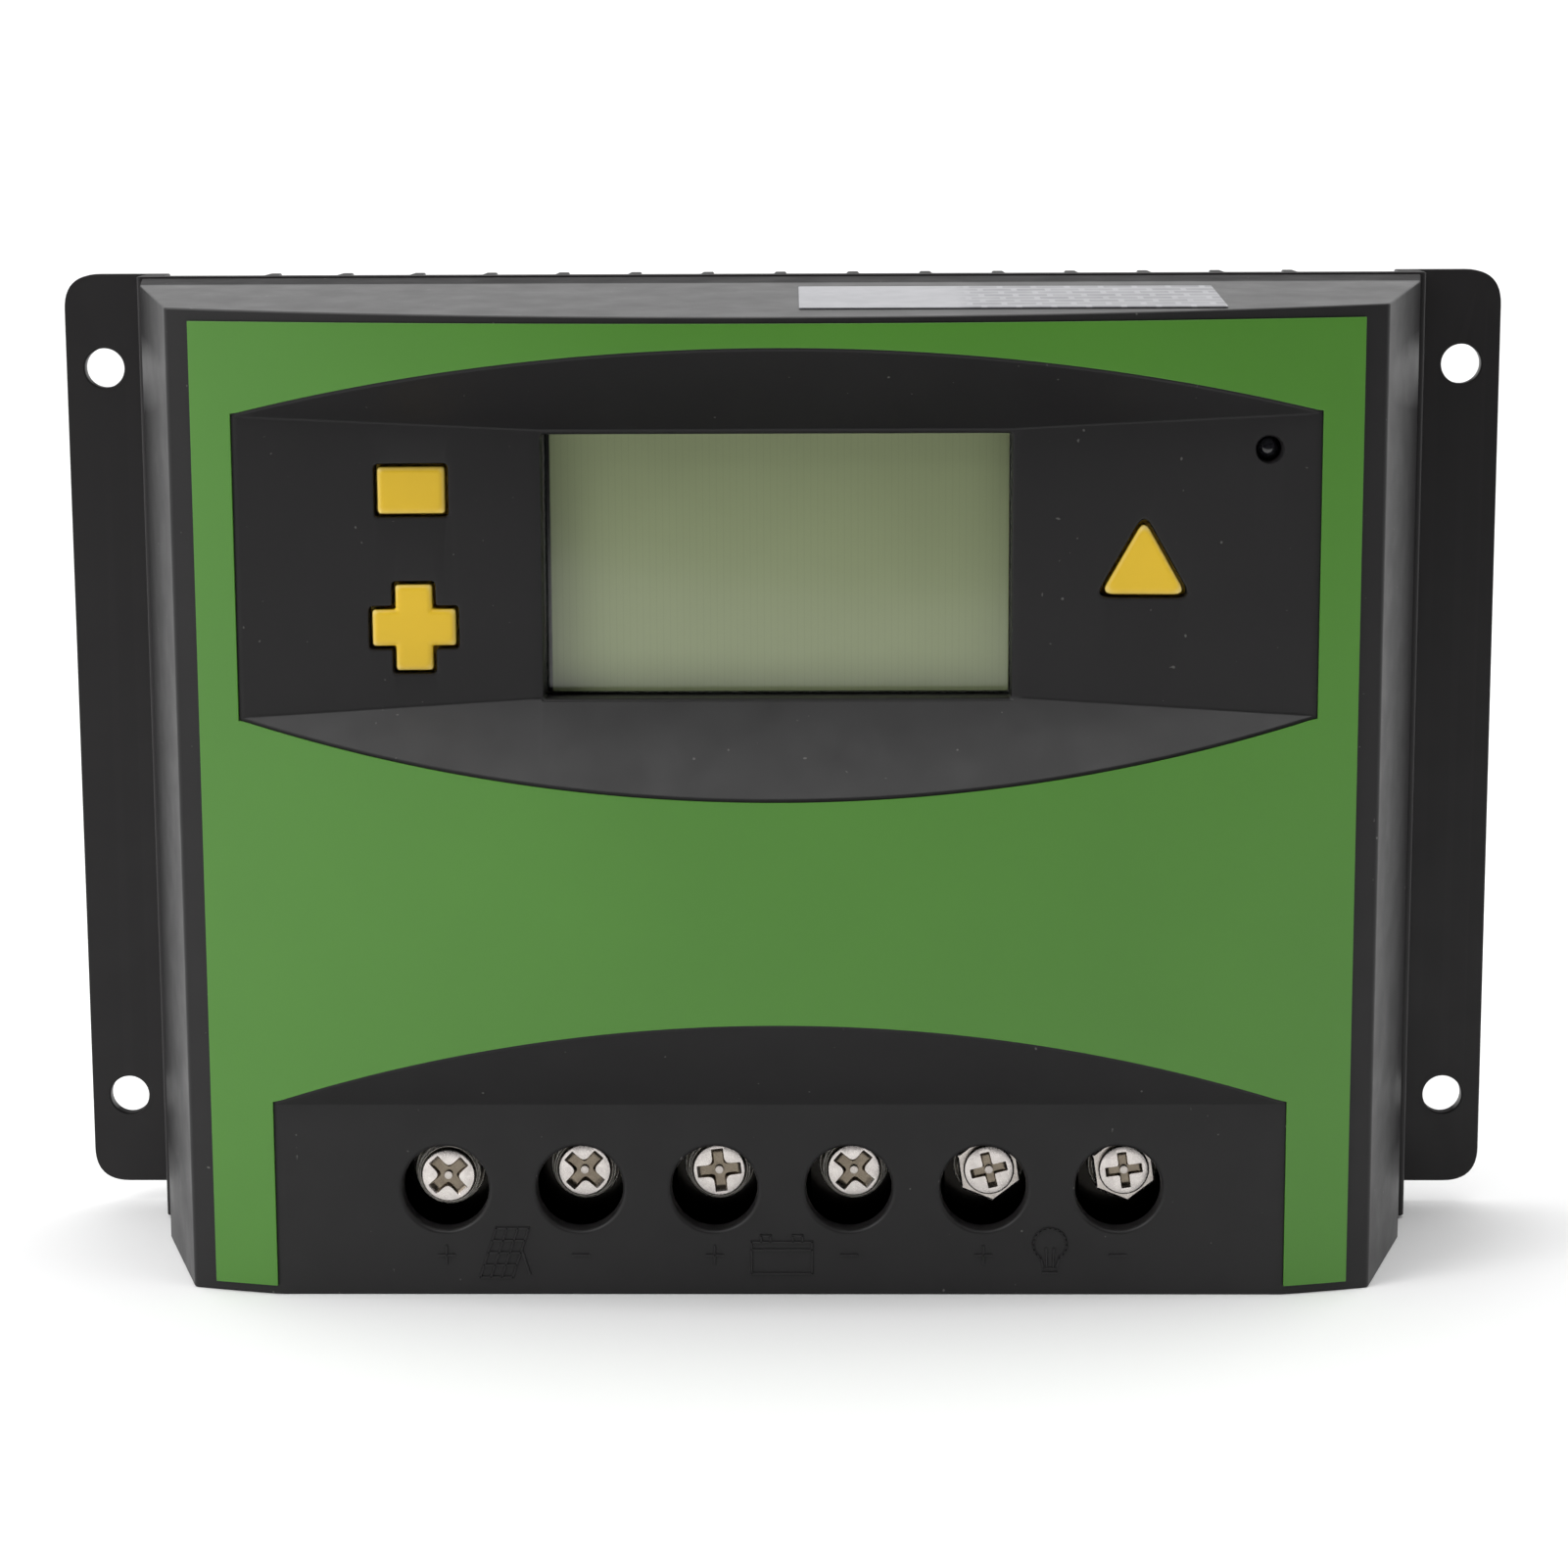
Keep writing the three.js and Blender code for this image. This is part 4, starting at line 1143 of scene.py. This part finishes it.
def build_screw(number, x, seat, is_hex):
    low, high = box_mm(f"terminal_screw_{number}")
    crown = low.y
    head, arm, width, inner = HEX_HEAD if is_hex else PAN_HEAD
    screw = screw_form(f"clamp_screw_{number}", x, high.y, seat, crown, head)
    if is_hex:
        combine(screw, hexagon(x, seat), "UNION")
    rings = []
    for depth, longer, wider in CROSS_LEVELS:
        angle = CROSS_ANGLES[number - 1]
        outline = cross_outline(x, SCREW_Z, arm * longer, width * wider, angle, inner * wider)
        rings.append([(u, crown + depth, v) for u, v in outline])
    combine(screw, loft("cross", rings), "DIFFERENCE")
    nub = [(radius, crown + depth) for radius, depth in NUB]
    combine(screw, turned("nub", nub, x, SCREW_Z, 24), "UNION")
    node = f"terminal_screw_{number}"
    plating = screw_material(f"screw_nickel_{number}", crown)
    piece(smooth(screw, 35), plating, f"screw_{number}", [node])


def build_clamp_washers(number, x, front, back):
    """A flat washer at the back, and a split spring washer in front of it."""
    flat_front = back - FLAT_THICKNESS
    spring_back = flat_front - SPRING_GAP
    flat = washer_section(FLAT_BORE, FLAT_RADIUS, flat_front, back)
    spring = washer_section(SPRING_BORE, SPRING_RADIUS, front, spring_back, SPRING_BACK_EASE)
    start = SPLIT_START + SPLIT_STEP * (number - 1)
    parts = [
        swept_ring("flat", flat, x, SCREW_Z),
        swept_ring("spring", spring, x, SCREW_Z, start, start + SPRING_ARC, SPRING_RISE),
    ]
    washers = smooth(joined(f"washer_pair_{number}", parts), 40)
    # Washer finish with painted shade and painted edge highlights.
    painted_shading = washer_material(f"clamp_washer_{number}", x, (FLAT_RADIUS, SPRING_RADIUS))
    piece(washers, painted_shading, f"clamp_{number}", [f"clamp_washers_{number}"])


def build_captive_washers(number, x, crown, seat):
    """Two thin washers held on the screw close behind its head."""
    step = (seat - crown) / 3
    parts = []
    for k, outer in enumerate(CAPTIVE_RADII):
        front = crown + step * (k + 1)
        section = washer_section(CAPTIVE_BORE, outer, front, front + step - RING_GAP)
        parts.append(swept_ring(f"captive_{k}", section, x, SCREW_Z))
    rings = smooth(joined(f"captive_washers_{number}", parts), 40)
    # Washer finish with painted shade and painted edge highlights.
    painted_shading = washer_material(f"captive_washer_{number}", x, CAPTIVE_RADII)
    piece(rings, painted_shading, f"screw_{number}")


def build_terminals():
    for i, x in enumerate(SCREW_X):
        number = i + 1
        low, high = box_mm(f"clamp_washers_{number}")
        seat = low.y - HEAD_STAND_OFF
        is_hex = i >= FIRST_HEX
        build_screw(number, x, seat, is_hex)
        build_clamp_washers(number, x, low.y, high.y)
        if not is_hex:
            build_captive_washers(number, x, box_mm(f"terminal_screw_{number}")[0].y, seat)


# -------- display and lamp
SHADE_BAND_RIGHT = 0.75 - WINDOW_HALF_WIDTH  # the black band of painted shade under the window's left wall ends here


def display_glass_material():
    """The cell behind its front polariser: grey green, a little uneven, under a clear gloss, with a band of
    painted shade along its left edge.
    """
    color = (0.305, 0.355, 0.195)
    material, bsdf, where = shader("lcd_glass", color, 0.16, coat=0.6)
    cloud = mapped(noise(where, 0.02), 0, 1)
    tone = blended(cloud, shade(color, 0.97), shade(color, 1.03))
    greys = ((1, 1, 1), (1, 1, 1), (0.96, 0.96, 0.96))
    cells = bricks(where, 0, greys, {"Scale": 600, "Mortar Size": 0.05, "Row Height": 0.5})
    tone = blended(1.0, tone, cells, "MULTIPLY")
    # Painted shade: a near-black band along the glass under the window's left wall.
    left_shade_tone = (0.004, 0.004, 0.004)
    clear = along(where, "X", SHADE_BAND_RIGHT - 0.1, SHADE_BAND_RIGHT + 0.1)
    feed(bsdf, "Base Color", blended(clear, left_shade_tone, tone))
    grain = noise(where, 0.0006)
    feed(bsdf, "Roughness", mapped(grain, 0.13, 0.19))
    return material


def build_display():
    inset = 0.1

    def pane(grow):
        u = GLASS_HIGH.x - inset + grow
        corners = box_corners(-u, u, GLASS_LOW.z + inset - grow, GLASS_HIGH.z - inset + grow)
        return rounded(corners, [0.3] * 4, steps=3)

    low, high = GLASS_LOW.y, GLASS_HIGH.y
    levels = [(low, -0.15), (low + 0.04, -0.04), (low + 0.15, 0), (high - 0.15, 0), (high, -0.12)]
    glass = prism("lcd_cell", pane, levels)
    piece(smooth(glass, 30), display_glass_material(), HOUSING, ["lcd_glass"])


def build_lamp():
    smoke = (0.02, 0.02, 0.024)
    thin, thick = (0.016, 0.016, 0.02), (0.028, 0.028, 0.034)
    material, bsdf, where = shader("lamp_lens", smoke, 0.12, coat=0.5)
    cloud = mapped(noise(where, 0.001), 0, 1)
    feed(bsdf, "Base Color", blended(cloud, thin, thick))
    feed(bsdf, "Roughness", mapped(noise(where, 0.0004), 0.08, 0.2))
    radius, flange, front, back = 1.5, 1.9, -34.7, -33.6
    tip, end = LAMP_LOW.y, LAMP_HIGH.y
    profile = curve((0.15, tip), (radius, tip), (radius, tip + 1.6), 10)
    profile += [(radius, front), (flange - 0.05, front + 0.1), (flange, front + 0.2)]
    profile += [(flange, back - 0.1), (radius, back), (radius, end)]
    lamp = turned("status_led", profile, *LAMP, 40)
    piece(smooth(lamp, 35), material, HOUSING, ["status_lamp"])


# -------- inner parts kept from the CAD
def finish_inner_nodes():
    """Procedural finishes, and eased edges, for the CAD nodes that stay."""
    plain = {
        "board_laminate": film("board_laminate", (0.02, 0.11, 0.04), 0.4),
        "component_black": textured_plastic("component_black", (0.012, 0.012, 0.013), 0.5, 0.0002, 4e-6),
        "capacitor_sleeve": film("capacitor_sleeve", (0.02, 0.035, 0.08), 0.3),
        "thermal_pad": textured_plastic("thermal_pad", (0.35, 0.37, 0.4), 0.75, 0.0005, 8e-6),
        "lcd_frame": BEZEL_BLACK,
        "lcd_backlight": textured_plastic("lcd_backlight", (0.7, 0.72, 0.66), 0.5, 0.0004, 3e-6),
        "terminal_metal": BLOCK_NICKEL,
        "fastener_zinc": metal("fastener_zinc", (0.5, 0.5, 0.49), 0.32),
        "bar_aluminium": metal("bar_aluminium", (0.6, 0.61, 0.63), 0.35, stretch=(0.05, 1, 1)),
        "shunt_alloy": metal("shunt_alloy", (0.5, 0.3, 0.17), 0.3, stretch=(0.1, 1, 1)),
    }
    slots = {entry["node"]: entry["material_slot"] for entry in frame["record"]["subparts"]}
    for name, node in frame["nodes"].items():
        if node.hide_render:
            continue
        node.data.materials.clear()
        node.data.materials.append(plain[slots[name]])
        weld = node.modifiers.new("weld", "WELD")
        weld.merge_threshold = 1e-6
        ease = node.modifiers.new("ease", "BEVEL")
        ease.width = 0.12 * MM
        ease.segments = 2
        ease.limit_method = "ANGLE"
        ease.angle_limit = math.radians(40)


# -------- camera, light and floor
CAMERA_PLACE = (8.606, -516.652, 85.987)
CAMERA_PITCH = 10.181
CAMERA_YAW = 0.94
CAMERA_ROLL = -0.254
SENSOR_WIDTH = 36
FOCAL_LENGTH = 89.80887
FAR_CLIP = 50
WORLD_STRENGTH = 1.2
FLOOR_REACH = 12000
# Name, place and target in metres, size in metres and power in watts.
LIGHTS = (
    ("key", (-1.1, -0.9, 1.2), (0, 0, 0), 0.8, 9),
    ("overhead", (-0.1, -0.25, 1.3), (0, -0.2, 0), 1.4, 9),
)


def add_camera():
    """A long lens just above the object, looking down at the front."""
    data = bpy.data.cameras.new("camera")
    data.sensor_width = SENSOR_WIDTH
    data.lens = FOCAL_LENGTH
    data.clip_end = FAR_CLIP
    camera = placed("camera", data)
    turn = Matrix(((1, 0, 0), (0, 0, -1), (0, 1, 0)))
    for angle, axis in ((CAMERA_YAW, "Y"), (CAMERA_PITCH, "X"), (CAMERA_ROLL, "Z")):
        turn = Matrix.Rotation(math.radians(angle), 3, axis) @ turn
    axes = Matrix((turn[0], -turn[1], -turn[2])).transposed()
    camera.matrix_world = Matrix.Translation(Vector(CAMERA_PLACE) * MM) @ axes.to_4x4()
    bpy.context.scene.camera = camera


def add_light(name, location, target, size, power):
    data = bpy.data.lights.new(name, "AREA")
    data.shape = "RECTANGLE"
    data.size = size
    data.size_y = size
    data.energy = power
    light = placed(name, data)
    light.location = location
    light.rotation_euler = (Vector(target) - Vector(location)).to_track_quat("-Z", "Y").to_euler()


def add_flag():
    """A large black flag behind the camera, which keeps the front of the object deep in tone.

    Its lower edge hangs just above the floor, level on the right and sweeping up to the left.
    """
    material = shader("flag_cloth", (0.004, 0.004, 0.004), 1.0, specular=0.0)[0]
    left, right, top, distance = -700, 1400, 1100, -620
    level_end, low, sweep, reach = 50, -54, 89, 222
    outline = [(right, top), (left, top)]
    steps = 60
    for i in range(steps + 1):
        x = left + (level_end - left) * i / steps
        outline.append((x, low + sweep * (math.hypot(1, (level_end - x) / reach) - 1)))
    outline.append((right, low))
    flag = loft("flag", [[(x, y, z) for x, z in outline] for y in (distance, distance - 4)])
    flag.data.materials.append(material)
    flag.visible_camera = False
    flag.visible_shadow = False


def set_stage():
    scene = bpy.context.scene
    scene.view_settings.view_transform = "Standard"
    world = bpy.data.worlds.new("studio")
    world.use_nodes = True
    background = next(n for n in world.node_tree.nodes if n.type == "BACKGROUND")
    background.inputs["Color"].default_value = (1, 1, 1, 1)
    background.inputs["Strength"].default_value = WORLD_STRENGTH
    scene.world = world

    material, bsdf, where = shader("floor_paper", (0.93, 0.93, 0.93), 0.9, specular=0.2)
    cloud = mapped(noise(where, 0.2), 0, 1)
    tone = blended(cloud, (0.92, 0.92, 0.92), (0.94, 0.94, 0.94))
    feed(bsdf, "Base Color", tone)
    level = min(SINK_LOW.z, COVER_LOW.z)
    corners = box_corners(-FLOOR_REACH, FLOOR_REACH, -FLOOR_REACH, FLOOR_REACH)
    floor = mesh_object("floor", [(x, y, level) for x, y in corners], [(0, 1, 2, 3)])
    floor.data.materials.append(material)

    add_flag()
    for light in LIGHTS:
        add_light(*light)


build_cover()
build_symbols()
build_front_label()
build_rating_label()
build_heat_sink()
build_buttons()
build_terminals()
build_display()
build_lamp()
finish_inner_nodes()
set_stage()
add_camera()
